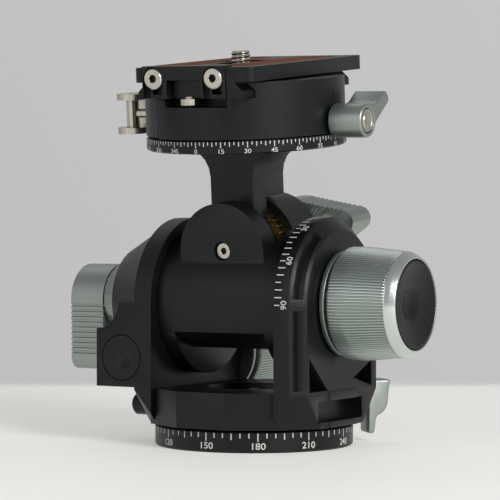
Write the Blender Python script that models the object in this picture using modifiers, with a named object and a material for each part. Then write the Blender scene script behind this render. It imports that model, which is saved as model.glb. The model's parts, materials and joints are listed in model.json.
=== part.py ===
"""A geared tripod head with two geared axes, a panning quick-release clamp and its plate.

Z is up and the head's front faces -Y. The pan axis is the Z axis, and the base stands on Z = 0.
Axis 1 (tilt) runs along X, axis 2 (roll) along Y above it. Lengths are in metres.
"""

import math

import bmesh
import bpy
from mathutils import Matrix, Vector

# Running gap between two pieces, and how far a cutter overruns what it cuts
GAP = 0.0003
OVERRUN = 0.001

# Rest pose: the drum leans forward about axis 1, and the arm rolls about axis 2
TILT_REST_DEGREES = 7.03
ROLL_REST_DEGREES = 1.65

# Sides of turned pieces, by their size
LARGE_SIDES = 40
MEDIUM_SIDES = 24
SMALL_SIDES = 12
LEG_ARCH_STEPS = 24
BAND_STEPS = 6

# How close points are welded, and the angles that count as flat and as sharp
WELD_DISTANCE = 0.000001
FLAT_DEGREES = 1.0
SHARP_DEGREES = 30.0
UPRIGHT_SHARE = 0.9

# Base ring and what holds the yoke to it
BASE_RADIUS = 0.0325
BASE_HEIGHT = 0.0068
BASE_EDGE = 0.0005
BASE_HUB_RADIUS = 0.011
BASE_HUB_TOP = 0.0135
INSERT_RADIUS = 0.0067
INSERT_THREAD_RADIUS = 0.0046
RETAINER_RADIUS = 0.0145
RETAINER_THICKNESS = 0.0024
RETAINER_SCREWS = 3
RETAINER_SCREW_CIRCLE = 0.0091
RETAINER_SCREW_RADIUS = 0.0010
RETAINER_SCREW_LENGTH = 0.006
RETAINER_SCREW_HEAD_RADIUS = 0.0018
RETAINER_SCREW_HEAD_HEIGHT = 0.0009

# Yoke
PAN_GAP = 0.0005
PLATFORM_APOTHEM = 0.0335
PLATFORM_FACETS = 12
PLATFORM_TOP = 0.0189
AXIS_1_HEIGHT = 0.04666
LEG_HALF_DEPTH = 0.0277
RIGHT_LEG_INNER = 0.0233
RIGHT_LEG_OUTER = 0.0330
RIGHT_LEG_CHAMFER = 0.0042
LEFT_LEG_INNER = 0.0225
LEFT_LEG_OUTER = 0.0290
LEFT_CONE_RADIUS = 0.0270
LEFT_CONE_END_RADIUS = 0.0177
LEFT_CONE_END = 0.0445
CORNER_RADIUS = 0.0333
CORNER_FLARE = 0.61
CORNER_TOP = 0.045
HOUSING_WALL = 0.0022
HOUSING_END_WALL = 0.0024
HOUSING_NECK = 0.0350
POCKET_DEPTH = 0.0050
POCKET_EDGE = 0.0009
CAP_MARGIN = 0.00097
CAP_THICKNESS = 0.0035
CAP_DIMPLE = 0.0008
CAP_DIMPLE_INNER_SHARE = 0.30
CAP_DIMPLE_OUTER_SHARE = 0.55
CAP_DIMPLE_FALL_SHARE = 0.80
LUG_RADIUS = 0.0037
LUG_HEIGHT = 0.0113
LUG_END = 0.0465

# The right leg's windows, as shares of the leg's half depth and of its height up to axis 1
FRONT_WINDOW_REACH_SHARE = 0.80
FRONT_WINDOW_FOOT_SHARE = 0.36
FRONT_WINDOW_HEIGHT_SHARE = 0.28
BACK_WINDOW_REACH_SHARE = 0.72
BACK_WINDOW_FOOT_SHARE = 0.26
BACK_WINDOW_HEIGHT_SHARE = 0.21
BACK_WINDOW_SLOPE_SHARE = 0.08
FOOT_WINDOW_FRONT_SHARE = 0.59
FOOT_WINDOW_BACK_SHARE = 0.48
FOOT_WINDOW_LOW_SHARE = 0.05
FOOT_WINDOW_TOP_SHARE = 0.22
CURVED_POCKET_START_DEGREES = 4.0
CURVED_POCKET_END_DEGREES = 60.0

# Worm gears: both wheels are alike, and each worm takes what its centre distance leaves
WHEEL_TEETH = 36
TOOTH_MODULE = 0.000685
WHEEL_TIP_ADDENDUM = 0.00057
WHEEL_ROOT_DEDENDUM = 0.00083
WORM_ADDENDUM = 0.00060
WORM_DEDENDUM = 0.00080
TOOTH_TIP_SHARE = 0.22
TOOTH_ROOT_SHARE = 0.48
WHEEL_WIDTH = 0.0040
WHEEL_BORE_GAP = 0.0002
WORM_TURNS = 4
WORM_STEPS = 16

# Tilt worm: it lies along Y in the left housing
TILT_WORM_ACROSS = -0.0340
TILT_WORM_DROP = 0.01806
TILT_WORM_FRONT = -0.0225

# Drum
DRUM_RADIUS = 0.0240
DRUM_LEFT = -0.0222
DRUM_RIGHT = 0.0230
FLANGE_LEFT_INNER = -0.0170
FLANGE_RIGHT_INNER = 0.0165
UNDERSIDE_EDGE_DROP = 0.0065
UNDERSIDE_DROP = 0.0135
UNDERSIDE_HALF_FLAT = 0.0120
UNDERSIDE_SLOPE_SHARE = 0.60
AXIS_SPACING = 0.0190
HEAD_RADIUS = 0.0155
HEAD_FRONT = -0.0184
HEAD_BACK = 0.0184
SLOT_FRONT = -0.0107
SLOT_BACK = 0.0024
HUB_POCKET_RADIUS = 0.0142
PIVOT_SCREW_RADIUS = 0.0028
PIVOT_SCREW_LENGTH = 0.0060
PIVOT_RECESS = 0.0011
TRUNNION_RADIUS = 0.0095
BUSH_WALL = 0.0020
TILT_SHAFT_RADIUS = 0.0060

# Arm
ARM_HALF_WIDTH = 0.0080
ARM_FRONT = -0.0104
ARM_SLAB_BACK = -0.0023
ARM_BACK = 0.0093
ARM_SHOULDER = 0.0160
ARM_FLARE = 0.0095
ROLL_AXLE_RADIUS = 0.0045
RING_RADIUS = 0.0325
RING_BOTTOM = 0.0324
RING_HEIGHT = 0.0042

# Clamp
CLAMP_RADIUS = 0.0325
CLAMP_HEIGHT = 0.0128
JAW_HEIGHT = 0.0176
JAW_SEAM = 0.0153
JAW_TRAVEL = 0.0020
DOVETAIL_HALF_WIDTH = 0.0190
DOVETAIL_NECK_HALF_WIDTH = 0.0167
DOVETAIL_STRAIGHT = 0.0022
DOVETAIL_HEIGHT = 0.0044
JAW_CLEARANCE = 0.0003
RECESS_HALF_WIDTH = 0.0115
RECESS_DEPTH = 0.0027
RECESS_REACH = 0.0240
CLAMP_POST_RADIUS = 0.0070
CLAMP_POST_HEIGHT = 0.0070
GUIDE_PIN_RADIUS = 0.0015
GUIDE_PIN_OFFSET = 0.0170
GUIDE_PIN_LENGTH = 0.0160
TENSION_ROD_RADIUS = 0.0015
TENSION_ROD_HEIGHT = 0.0061
CAM_PIN_ACROSS = -0.0440
CAM_PIN_RADIUS = 0.0021
CAM_PLATE_RADIUS = 0.0052
CAM_PLATE_THICKNESS = 0.0021
CAM_LEVER_DEGREES = 78.0

# Plate
PLATE_LEFT = -0.0209
PLATE_RIGHT = 0.0230
PLATE_FRONT = -0.0340
PLATE_BACK = 0.0396
FLANGE_BOTTOM = 0.0051
FLANGE_TOP = 0.0097
PLATE_CORNER = 0.0030
STRIP_HALF_LENGTH = 0.0300
STRIP_INNER = 0.0075
STRIP_OUTER = 0.0185
STRIP_DEPTH = 0.0008
STRIP_RISE = 0.0004
SCREW_SLOT_HALF_LENGTH = 0.0140
SCREW_SLOT_HALF_WIDTH = 0.0037
CAMERA_SCREW_RADIUS = 0.003175
CAMERA_SCREW_HEAD_RADIUS = 0.0075
CAMERA_SCREW_HEAD_HEIGHT = 0.0025
CAMERA_SCREW_RISE = 0.0036
CAMERA_SCREW_ACROSS = -0.0010
CAMERA_SCREW_TRAVEL = 0.0080
STOP_SCREW_ACROSS = -0.0036
STOP_SCREW_RADIUS = 0.0031
STOP_SCREW_HEIGHT = 0.0020
STOP_SCREW_REACH = 0.0280
LIP_LEFT = -0.0173
LIP_RIGHT = 0.0132
LIP_TOP = 0.0102
LIP_DEPTH = 0.0048
LIP_TRAVEL = 0.0035
LIP_SCREW_LEFT = -0.0134
LIP_SCREW_RIGHT = 0.0086
LIP_SCREW_HEIGHT = 0.0063
LIP_SCREW_HEAD_RADIUS = 0.00335
LIP_SCREW_HEAD_HEIGHT = 0.0022
LIP_SCREW_RADIUS = 0.0014
LIP_SCREW_LENGTH = 0.0095
LIP_ARCH_LEFT = -0.0084
LIP_ARCH_RIGHT = 0.0043
LIP_ARCH_TOP = 0.0058

# Knobs: the tilt knob and the roll knob are alike
KNOB_COLLAR_RADIUS = 0.0171
KNOB_COLLAR_LENGTH = 0.0044
KNOB_RADIUS = 0.0182
KNOB_END_RADIUS = 0.0169
KNOB_LENGTH = 0.0210
KNOB_SHOULDER = 0.0157
KNOB_FACE_RADIUS = 0.0153
KNOB_WALL = 0.0032
KNOB_CAP_RADIUS = 0.0141
KNOB_CAP_DEPTH = 0.0056
KNOB_CAP_RISE = 0.0002
KNOB_CAP_DISH = 0.0026
KNOB_CAP_INNER_SHARE = 0.35
KNOB_CAP_OUTER_SHARE = 0.70
KNOB_CAP_INNER_FALL_SHARE = 0.85
KNOB_CAP_OUTER_FALL_SHARE = 0.35
KNOB_STRAIGHT_SHARE = 0.25
KNOB_EDGE_SHARE = 0.25
KNOB_SHAFT_RADIUS = 0.0032

# Release levers: the tilt lever and the roll lever are alike
LEVER_HUB_RADIUS = 0.0120
LEVER_TIP_RADIUS = 0.0040
LEVER_REACH = 0.0210
LEVER_THICKNESS = 0.0130
LEVER_RING_LENGTH = 0.0068
LEVER_RING_RADIUS = 0.0150
LEVER_RING_END_RADIUS = 0.0118
LEVER_GROOVES = 10
LEVER_GROOVE_RADIUS = 0.0005
LEVER_BORE = 0.0026
LEVER_SCREW_HEAD_RADIUS = 0.0045
LEVER_SCREW_HEAD_HEIGHT = 0.0020
TILT_LEVER_DEGREES = 208.6
ROLL_LEVER_DEGREES = 11.5

# Lock levers: a hub with a wing, on the yoke's corner and on the clamp
LOCK_HUB_RADIUS = 0.0054
LOCK_SIDES = 24
LOCK_HUB_LENGTH = 0.0118
LOCK_WING_START = 0.0015
LOCK_WING_REACH = 0.0165
LOCK_WING_TIP = 0.0009
LOCK_WING_ROOT_SHARE = 0.62
LOCK_SCREW_RADIUS = 0.0018
LOCK_SCREW_REACH = 0.0060
CLAMP_LOCK_HEIGHT = 0.0038
CLAMP_LOCK_START = 0.0330
CLAMP_LOCK_DEGREES = 35.5
PAN_LOCK_HEIGHT = 0.0152
PAN_LOCK_START = 0.0378
PAN_LOCK_LENGTH = 0.0090
PAN_LOCK_REACH = 0.0125
PAN_LOCK_CORNER_DEGREES = 45.0

# Finishes: colour, roughness and how metallic
BLACK = ((0.022, 0.025, 0.025, 1.0), 0.42, 0.9)
GREY = ((0.26, 0.30, 0.27, 1.0), 0.38, 0.9)
STEEL = ((0.52, 0.48, 0.39, 1.0), 0.30, 1.0)
BRASS = ((0.55, 0.38, 0.12, 1.0), 0.32, 1.0)
BRONZE = ((0.38, 0.24, 0.10, 1.0), 0.40, 1.0)
RUBBER = ((0.25, 0.09, 0.04, 1.0), 0.80, 0.0)

WHEEL_PITCH_RADIUS = TOOTH_MODULE * WHEEL_TEETH / 2
TOOTH_PITCH = math.pi * TOOTH_MODULE
WHEEL_TIP = WHEEL_PITCH_RADIUS + WHEEL_TIP_ADDENDUM
TILT_WORM_PITCH_RADIUS = TILT_WORM_DROP - WHEEL_PITCH_RADIUS
ROLL_WORM_PITCH_RADIUS = AXIS_SPACING - WHEEL_PITCH_RADIUS
WORM_LENGTH = TOOTH_PITCH * (WORM_TURNS + 1)
TILT_WORM_HEIGHT = AXIS_1_HEIGHT - TILT_WORM_DROP
CAP_RADIUS = TILT_WORM_PITCH_RADIUS + WORM_ADDENDUM + CAP_MARGIN
HOUSING_BOTTOM = TILT_WORM_HEIGHT - CAP_RADIUS - HOUSING_WALL
HOUSING_END = CAP_RADIUS + HOUSING_END_WALL - TILT_WORM_ACROSS
ARM_HUB_RADIUS = WHEEL_PITCH_RADIUS - WORM_ADDENDUM - GAP
YOKE_BOTTOM = BASE_HEIGHT + PAN_GAP
CLAMP_BOTTOM = RING_BOTTOM + RING_HEIGHT + GAP
CLAMP_TOP = CLAMP_BOTTOM + CLAMP_HEIGHT
PLATE_BOTTOM = CLAMP_TOP + GAP


def remove_everything():
    for old in list(bpy.data.objects):
        bpy.data.objects.remove(old, do_unlink=True)


def new_collection(name):
    made = bpy.data.collections.new(name)
    bpy.context.scene.collection.children.link(made)
    return made


remove_everything()
PARTS = new_collection("geared_tripod_head")
CUTTERS = new_collection("cutters")
CUTTERS.hide_render = True


def axis_frame(name, parent, location, rotation=(0.0, 0.0, 0.0)):
    """An empty on a joint's axis, which the joint's pieces are parented to."""
    pivot = bpy.data.objects.new(name, None)
    pivot.location = location
    pivot.rotation_euler = rotation
    pivot.parent = parent
    PARTS.objects.link(pivot)
    return pivot


def add_object(name, mesh, parent, finish=None):
    """A piece of the head, or a cutter when it has no finish."""
    piece = bpy.data.objects.new(name, mesh)
    piece.parent = parent
    if finish is None:
        CUTTERS.objects.link(piece)
        piece.hide_render = True
        piece.display_type = "WIRE"
        return piece
    PARTS.objects.link(piece)
    colour, roughness, metallic = finish
    surface = bpy.data.materials.new(name)
    surface.use_nodes = True
    shader = surface.node_tree.nodes["Principled BSDF"]
    shader.inputs["Base Color"].default_value = colour
    shader.inputs["Roughness"].default_value = roughness
    shader.inputs["Metallic"].default_value = metallic
    surface.diffuse_color = colour
    mesh.materials.append(surface)
    return piece


def facing(direction, origin=(0.0, 0.0, 0.0), side=None):
    """A placement whose Z points along the direction and whose X points to the side."""
    z_axis = Vector(direction).normalized()
    if side is None:
        side = (0, 0, 1) if abs(z_axis.z) < UPRIGHT_SHARE else (1, 0, 0)
    side = Vector(side)
    x_axis = (side - z_axis * side.dot(z_axis)).normalized()
    y_axis = z_axis.cross(x_axis)
    turned_axes = Matrix((x_axis, y_axis, z_axis)).transposed()
    return Matrix.Translation(Vector(origin)) @ turned_axes.to_4x4()


def block(name, parent, x, y, z, finish=None, placement=None):
    """A box between the two values given for each direction."""
    shape = bmesh.new()
    bmesh.ops.create_cube(shape, size=1.0)
    for vertex in shape.verts:
        vertex.co = [
            (span[0] + span[1]) / 2 + (span[1] - span[0]) * share
            for span, share in zip((x, y, z), vertex.co)
        ]
    mesh = bpy.data.meshes.new(name)
    shape.to_mesh(mesh)
    shape.free()
    piece = add_object(name, mesh, parent, finish)
    if placement is not None:
        piece.matrix_local = placement
    return piece


def rod(name, parent, direction, origin, radius, length, finish=None, sides=SMALL_SIDES, end_radius=None):
    """A cylinder, or a cone, that starts at the origin and runs along the direction."""
    shape = bmesh.new()
    bmesh.ops.create_cone(
        shape,
        cap_ends=True,
        segments=sides,
        radius1=radius,
        radius2=radius if end_radius is None else end_radius,
        depth=length,
    )
    bmesh.ops.translate(shape, verts=shape.verts, vec=(0, 0, length / 2))
    mesh = bpy.data.meshes.new(name)
    shape.to_mesh(mesh)
    shape.free()
    piece = add_object(name, mesh, parent, finish)
    piece.matrix_local = facing(direction, origin)
    return piece


def turned(name, parent, direction, origin, profile, finish=None, sides=MEDIUM_SIDES):
    """A profile of (radius, height) points, run down its outer side, turned about the direction."""
    shape = bmesh.new()
    points = [shape.verts.new((radius, 0, height)) for radius, height in profile]
    for start, end in zip(points, points[1:]):
        shape.edges.new((start, end))
    if profile[0][0] > 0:
        shape.edges.new((points[-1], points[0]))
    mesh = bpy.data.meshes.new(name)
    shape.to_mesh(mesh)
    shape.free()
    piece = add_object(name, mesh, parent, finish)
    piece.matrix_local = facing(direction, origin)
    screw = piece.modifiers.new("Turn", "SCREW")
    screw.steps = sides
    screw.render_steps = sides
    screw.use_merge_vertices = True
    screw.merge_threshold = WELD_DISTANCE
    return piece


def tube(name, parent, direction, origin, radius, bore, length, finish=None, sides=MEDIUM_SIDES):
    profile = [(bore, length), (radius, length), (radius, 0), (bore, 0)]
    return turned(name, parent, direction, origin, profile, finish, sides)


def prism(name, parent, outlines, direction, side, span, finish=None):
    """Flat outlines, the later ones holes, extruded between two distances along the direction."""
    curve = bpy.data.curves.new(name, "CURVE")
    curve.dimensions = "2D"
    curve.fill_mode = "BOTH"
    curve.extrude = (span[1] - span[0]) / 2
    for outline in outlines:
        spline = curve.splines.new("POLY")
        spline.points.add(len(outline) - 1)
        for point, (across, up) in zip(spline.points, outline):
            point.co = (across, up, 0, 1)
        spline.use_cyclic_u = True
    outline_object = bpy.data.objects.new(name + "_outline", curve)
    bpy.context.scene.collection.objects.link(outline_object)
    graph = bpy.context.evaluated_depsgraph_get()
    mesh = bpy.data.meshes.new_from_object(outline_object.evaluated_get(graph))
    bpy.data.objects.remove(outline_object, do_unlink=True)
    mesh.name = name
    shape = bmesh.new()
    shape.from_mesh(mesh)
    bmesh.ops.remove_doubles(shape, verts=shape.verts, dist=WELD_DISTANCE)
    bmesh.ops.recalc_face_normals(shape, faces=shape.faces)
    shape.to_mesh(mesh)
    shape.free()
    piece = add_object(name, mesh, parent, finish)
    middle = Vector(direction).normalized() * (span[0] + span[1]) / 2
    piece.matrix_local = facing(direction, middle, side)
    return piece


def along_x(name, parent, outlines, span, finish=None):
    """Outlines in (y, z), extruded along X."""
    return prism(name, parent, outlines, (1, 0, 0), (0, 1, 0), span, finish)


def along_y(name, parent, outlines, span, finish=None):
    """Outlines in (x, z), extruded along Y."""
    return prism(name, parent, outlines, (0, -1, 0), (1, 0, 0), (-span[1], -span[0]), finish)


def along_z(name, parent, outlines, span, finish=None):
    """Outlines in (x, y), extruded along Z."""
    return prism(name, parent, outlines, (0, 0, 1), (1, 0, 0), span, finish)


def arc(centre, radius, start_degrees, end_degrees, steps):
    """Points on an arc about the centre, both ends included."""
    angles = [
        math.radians(start_degrees + (end_degrees - start_degrees) * step / steps) for step in range(steps + 1)
    ]
    return [(centre[0] + radius * math.cos(angle), centre[1] + radius * math.sin(angle)) for angle in angles]


def circle(radius, sides):
    """Points round a circle about the origin."""
    return arc((0, 0), radius, 0, 360 - 360 / sides, sides - 1)


def combine(piece, other, operation):
    change = piece.modifiers.new(operation.title(), "BOOLEAN")
    change.operation = operation
    change.object = other
    change.solver = "EXACT"


def cut(piece, *others):
    for other in others:
        combine(piece, other, "DIFFERENCE")


def fuse(piece, *others):
    for other in others:
        combine(piece, other, "UNION")


def keep(piece, other):
    combine(piece, other, "INTERSECT")


def bevel_where(piece, width, wanted):
    """Chamfers only the sharp edges whose two ends pass the test, in the piece's own coordinates."""
    shape = bmesh.new()
    shape.from_mesh(piece.data)
    flat = math.radians(FLAT_DEGREES)
    sharp = [edge for edge in shape.edges if edge.calc_face_angle(0.0) > flat]
    chosen = [edge for edge in sharp if wanted(*(vertex.co for vertex in edge.verts))]
    bmesh.ops.bevel(shape, geom=chosen, offset=width, segments=1, affect="EDGES", clamp_overlap=False)
    shape.to_mesh(piece.data)
    shape.free()


def freeze(piece):
    """Applies the modifiers, so that the shading can follow the sharp edges."""
    graph = bpy.context.evaluated_depsgraph_get()
    mesh = bpy.data.meshes.new_from_object(piece.evaluated_get(graph))
    piece.modifiers.clear()
    piece.data = mesh
    mesh.shade_smooth()
    mesh.set_sharp_from_angle(angle=math.radians(SHARP_DEGREES))


def gear_outline():
    """A toothed wheel, one tooth centred on the first direction."""
    tip_half = TOOTH_TIP_SHARE * TOOTH_PITCH / 2
    root_half = TOOTH_ROOT_SHARE * TOOTH_PITCH / 2
    root = WHEEL_PITCH_RADIUS - WHEEL_ROOT_DEDENDUM
    points = []
    for tooth in range(WHEEL_TEETH):
        middle = math.tau * tooth / WHEEL_TEETH
        flank = ((root, -root_half), (WHEEL_TIP, -tip_half), (WHEEL_TIP, tip_half), (root, root_half))
        for radius, half in flank:
            angle = middle + half / WHEEL_PITCH_RADIUS
            points.append((radius * math.cos(angle), radius * math.sin(angle)))
    return points


def worm_wheel(name, parent, direction, middle, bore):
    outlines = [gear_outline(), circle(bore, MEDIUM_SIDES)]
    wheel = prism(name, parent, outlines, direction, (0, 0, 1), (-WHEEL_WIDTH / 2, WHEEL_WIDTH / 2), BRASS)
    wheel.matrix_local = facing(direction, middle)
    return wheel


def worm_thread(name, parent, direction, middle, pitch_radius, turn_degrees):
    """A helical ridge, closed at both ends, whose groove faces the wheel when the turn is zero."""
    root = pitch_radius - WORM_DEDENDUM
    tip = pitch_radius + WORM_ADDENDUM
    root_half = TOOTH_ROOT_SHARE * TOOTH_PITCH / 2
    tip_half = TOOTH_TIP_SHARE * TOOTH_PITCH / 2
    start = -WORM_TURNS * TOOTH_PITCH / 2
    section = ((root - GAP, -root_half), (tip, -tip_half), (tip, tip_half), (root - GAP, root_half))
    shape = bmesh.new()
    corners = [shape.verts.new((radius, 0, start + TOOTH_PITCH / 2 + offset)) for radius, offset in section]
    face = shape.faces.new(corners)
    sections = [face.verts[:]]
    for step in range(WORM_TURNS * WORM_STEPS - WORM_STEPS):
        angle = math.tau * (step + 1) / WORM_STEPS
        rise = TOOTH_PITCH * (step + 1) / WORM_STEPS
        sections.append(
            [
                shape.verts.new((radius * math.cos(angle), radius * math.sin(angle), corner.co.z + rise))
                for (radius, _), corner in zip(section, corners)
            ]
        )
    shape.faces.new(reversed(sections[-1]))
    for low, high in zip(sections, sections[1:]):
        for index in range(len(section)):
            following = (index + 1) % len(section)
            shape.faces.new((low[following], low[index], high[index], high[following]))
    bmesh.ops.recalc_face_normals(shape, faces=shape.faces)
    mesh = bpy.data.meshes.new(name)
    shape.to_mesh(mesh)
    shape.free()
    ridge = add_object(name, mesh, parent)
    ridge.matrix_local = facing(direction, middle) @ Matrix.Rotation(math.radians(turn_degrees), 4, "Z")
    return ridge


def knob_pieces(name, parent, direction, start):
    """A knurled knob with its collar and its dished cap, on a shaft that starts behind the collar."""
    along = Vector(direction)
    collar_origin = Vector(start)
    knob_origin = collar_origin + along * (KNOB_COLLAR_LENGTH + GAP)
    cap_origin = knob_origin + along * (KNOB_LENGTH - KNOB_CAP_DEPTH)
    bore = KNOB_SHAFT_RADIUS + GAP
    tube(f"{name}_collar", parent, direction, collar_origin, KNOB_COLLAR_RADIUS, bore, KNOB_COLLAR_LENGTH, GREY)
    rim = KNOB_CAP_RADIUS + GAP
    seat = KNOB_LENGTH - KNOB_CAP_DEPTH - GAP
    edge = KNOB_WALL * KNOB_EDGE_SHARE
    turned(
        name,
        parent,
        direction,
        knob_origin,
        [
            (bore, seat),
            (rim, seat),
            (rim, KNOB_LENGTH),
            (KNOB_FACE_RADIUS - edge / 2, KNOB_LENGTH),
            (KNOB_FACE_RADIUS, KNOB_LENGTH - edge / 2),
            (KNOB_END_RADIUS, KNOB_SHOULDER),
            (KNOB_RADIUS, KNOB_SHOULDER * KNOB_STRAIGHT_SHARE),
            (KNOB_RADIUS, edge),
            (KNOB_RADIUS - edge, 0),
            (bore, 0),
        ],
        GREY,
        LARGE_SIDES,
    )
    rise = KNOB_CAP_DEPTH + KNOB_CAP_RISE
    turned(
        f"{name}_cap",
        parent,
        direction,
        cap_origin,
        [
            (0, rise - KNOB_CAP_DISH),
            (KNOB_CAP_RADIUS * KNOB_CAP_INNER_SHARE, rise - KNOB_CAP_DISH * KNOB_CAP_INNER_FALL_SHARE),
            (KNOB_CAP_RADIUS * KNOB_CAP_OUTER_SHARE, rise - KNOB_CAP_DISH * KNOB_CAP_OUTER_FALL_SHARE),
            (KNOB_CAP_RADIUS - edge, rise),
            (KNOB_CAP_RADIUS, rise - edge),
            (KNOB_CAP_RADIUS, 0),
            (0, 0),
        ],
        BLACK,
    )
    return (KNOB_COLLAR_LENGTH + GAP) + seat - GAP


def tangent_outline(big, small, reach, steps=10):
    """The outline round two circles, the big one at the origin and the small one at the reach along X."""
    spread = math.degrees(math.acos((big - small) / reach))
    tip = arc((reach, 0), small, -spread, spread, max(4, steps // 2))
    hub = arc((0, 0), big, spread, 360 - spread, steps * 2)
    return tip + hub


def release_lever(name, parent, direction, start, degrees, side, ribbed_edge):
    """A teardrop lever on a conical ring, held by a screw. The start is the ring's inner face.

    The ribs lie on the edge to the lever's left (1) or to its right (-1), seen from its screw.
    """
    along = Vector(direction)
    ring_origin = Vector(start)
    profile = [
        (LEVER_BORE, LEVER_RING_LENGTH),
        (LEVER_RING_END_RADIUS, LEVER_RING_LENGTH),
        (LEVER_RING_RADIUS, 0),
        (LEVER_BORE, 0),
    ]
    turned(f"{name}_ring", parent, direction, ring_origin, profile, GREY)
    outline = tangent_outline(LEVER_HUB_RADIUS, LEVER_TIP_RADIUS, LEVER_REACH)
    hole = circle(LEVER_BORE, SMALL_SIDES)
    base = ring_origin + along * (LEVER_RING_LENGTH + GAP)
    placement = facing(direction, base, side) @ Matrix.Rotation(math.radians(degrees), 4, "Z")
    lever = prism(name, parent, [outline, hole], direction, side, (0, LEVER_THICKNESS), GREY)
    lever.matrix_local = placement @ Matrix.Translation((0, 0, LEVER_THICKNESS / 2))
    spread = math.acos((LEVER_HUB_RADIUS - LEVER_TIP_RADIUS) / LEVER_REACH)
    edge_length = LEVER_REACH * math.sin(spread)
    for index in range(LEVER_GROOVES):
        share = (index + 1) / (LEVER_GROOVES + 1)
        foot = Vector((math.cos(spread), ribbed_edge * math.sin(spread), 0)) * LEVER_HUB_RADIUS
        run = Vector((math.sin(spread), -ribbed_edge * math.cos(spread), 0)) * edge_length * share
        groove = rod(
            f"{name}_groove_{index + 1}",
            parent,
            (0, 0, 1),
            (0, 0, 0),
            LEVER_GROOVE_RADIUS,
            LEVER_THICKNESS + 2 * OVERRUN,
            sides=6,
        )
        groove.matrix_local = placement @ Matrix.Translation(foot + run + Vector((0, 0, -OVERRUN)))
        cut(lever, groove)
    head = LEVER_RING_LENGTH + GAP + LEVER_THICKNESS + GAP
    shank = LEVER_BORE - GAP
    turned(
        f"{name}_screw",
        parent,
        direction,
        ring_origin,
        [
            (0, head + LEVER_SCREW_HEAD_HEIGHT),
            (LEVER_SCREW_HEAD_RADIUS, head + LEVER_SCREW_HEAD_HEIGHT),
            (LEVER_SCREW_HEAD_RADIUS, head),
            (shank, head),
            (shank, GAP),
            (0, GAP),
        ],
        STEEL,
        SMALL_SIDES,
    )
    return lever


def lock_lever(name, parent, direction, start, side, degrees, length, reach, finish):
    """A small winged lever with its screw, about the direction. The wing points to the side, turned."""
    placement = facing(direction, start, side) @ Matrix.Rotation(math.radians(degrees), 4, "Z")
    hub = rod(name, parent, (0, 0, 1), (0, 0, 0), LOCK_HUB_RADIUS, length, finish, LOCK_SIDES)
    half_side = Matrix.Rotation(math.pi / LOCK_SIDES, 4, "Z")
    hub.matrix_local = placement @ half_side
    outline = tangent_outline(LOCK_HUB_RADIUS * LOCK_WING_ROOT_SHARE, LOCK_WING_TIP, reach - LOCK_WING_TIP, 6)
    wing_end = length - LOCK_WING_START / 2
    wing = prism(f"{name}_wing", parent, [outline], (0, 0, 1), (1, 0, 0), (LOCK_WING_START, wing_end))
    wing.matrix_local = placement @ Matrix.Translation((0, 0, (LOCK_WING_START + wing_end) / 2))
    fuse(hub, wing)
    bore = rod(f"{name}_bore", parent, (0, 0, 1), (0, 0, 0), LOCK_SCREW_RADIUS + GAP, length, sides=SMALL_SIDES)
    bore.matrix_local = placement @ Matrix.Translation((0, 0, -OVERRUN))
    cut(hub, bore)
    screw = rod(
        f"{name}_screw", parent, (0, 0, 1), (0, 0, 0), LOCK_SCREW_RADIUS, LOCK_SCREW_REACH + length / 2, STEEL
    )
    screw.matrix_local = placement @ Matrix.Translation((0, 0, -LOCK_SCREW_REACH))
    return hub


def make_base():
    bore = INSERT_RADIUS + GAP
    profile = [
        (bore, BASE_HUB_TOP),
        (BASE_HUB_RADIUS, BASE_HUB_TOP),
        (BASE_HUB_RADIUS, BASE_HEIGHT),
        (BASE_RADIUS - BASE_EDGE, BASE_HEIGHT),
        (BASE_RADIUS, BASE_HEIGHT - BASE_EDGE),
        (BASE_RADIUS, BASE_EDGE),
        (BASE_RADIUS - BASE_EDGE, 0),
        (bore, 0),
    ]
    base = turned("base_ring", None, (0, 0, 1), (0, 0, 0), profile, BLACK, LARGE_SIDES)
    tube(
        "base_thread_insert",
        None,
        (0, 0, 1),
        (0, 0, GAP),
        INSERT_RADIUS,
        INSERT_THREAD_RADIUS,
        BASE_HUB_TOP - GAP,
        STEEL,
        MEDIUM_SIDES,
    )
    ring_bottom = BASE_HUB_TOP + GAP
    retainer = tube(
        "pan_retaining_ring",
        None,
        (0, 0, 1),
        (0, 0, ring_bottom),
        RETAINER_RADIUS,
        bore,
        RETAINER_THICKNESS,
        STEEL,
    )
    head = ring_bottom + RETAINER_THICKNESS + GAP
    for index in range(RETAINER_SCREWS):
        angle = math.tau * index / RETAINER_SCREWS
        at = (RETAINER_SCREW_CIRCLE * math.cos(angle), RETAINER_SCREW_CIRCLE * math.sin(angle), 0)
        bottom = head - RETAINER_SCREW_LENGTH
        turned(
            f"retaining_screw_{index + 1}",
            None,
            (0, 0, 1),
            at,
            [
                (0, head + RETAINER_SCREW_HEAD_HEIGHT),
                (RETAINER_SCREW_HEAD_RADIUS, head + RETAINER_SCREW_HEAD_HEIGHT),
                (RETAINER_SCREW_HEAD_RADIUS, head),
                (RETAINER_SCREW_RADIUS, head),
                (RETAINER_SCREW_RADIUS, bottom),
                (0, bottom),
            ],
            STEEL,
            SMALL_SIDES,
        )
        hole_bottom = (at[0], at[1], bottom - GAP)
        depth = RETAINER_SCREW_LENGTH + OVERRUN
        hole = rod(
            f"retaining_hole_{index + 1}",
            None,
            (0, 0, 1),
            hole_bottom,
            RETAINER_SCREW_RADIUS + GAP,
            depth,
            sides=SMALL_SIDES,
        )
        cut(base, hole)
        cut(retainer, hole)


def leg_outline():
    """The side view of a leg, in (y, z): straight below axis 1, a half circle above it."""
    arch = arc((0, AXIS_1_HEIGHT), LEG_HALF_DEPTH, 0, 180, LEG_ARCH_STEPS)
    return [(-LEG_HALF_DEPTH, YOKE_BOTTOM), (LEG_HALF_DEPTH, YOKE_BOTTOM)] + arch


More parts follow.
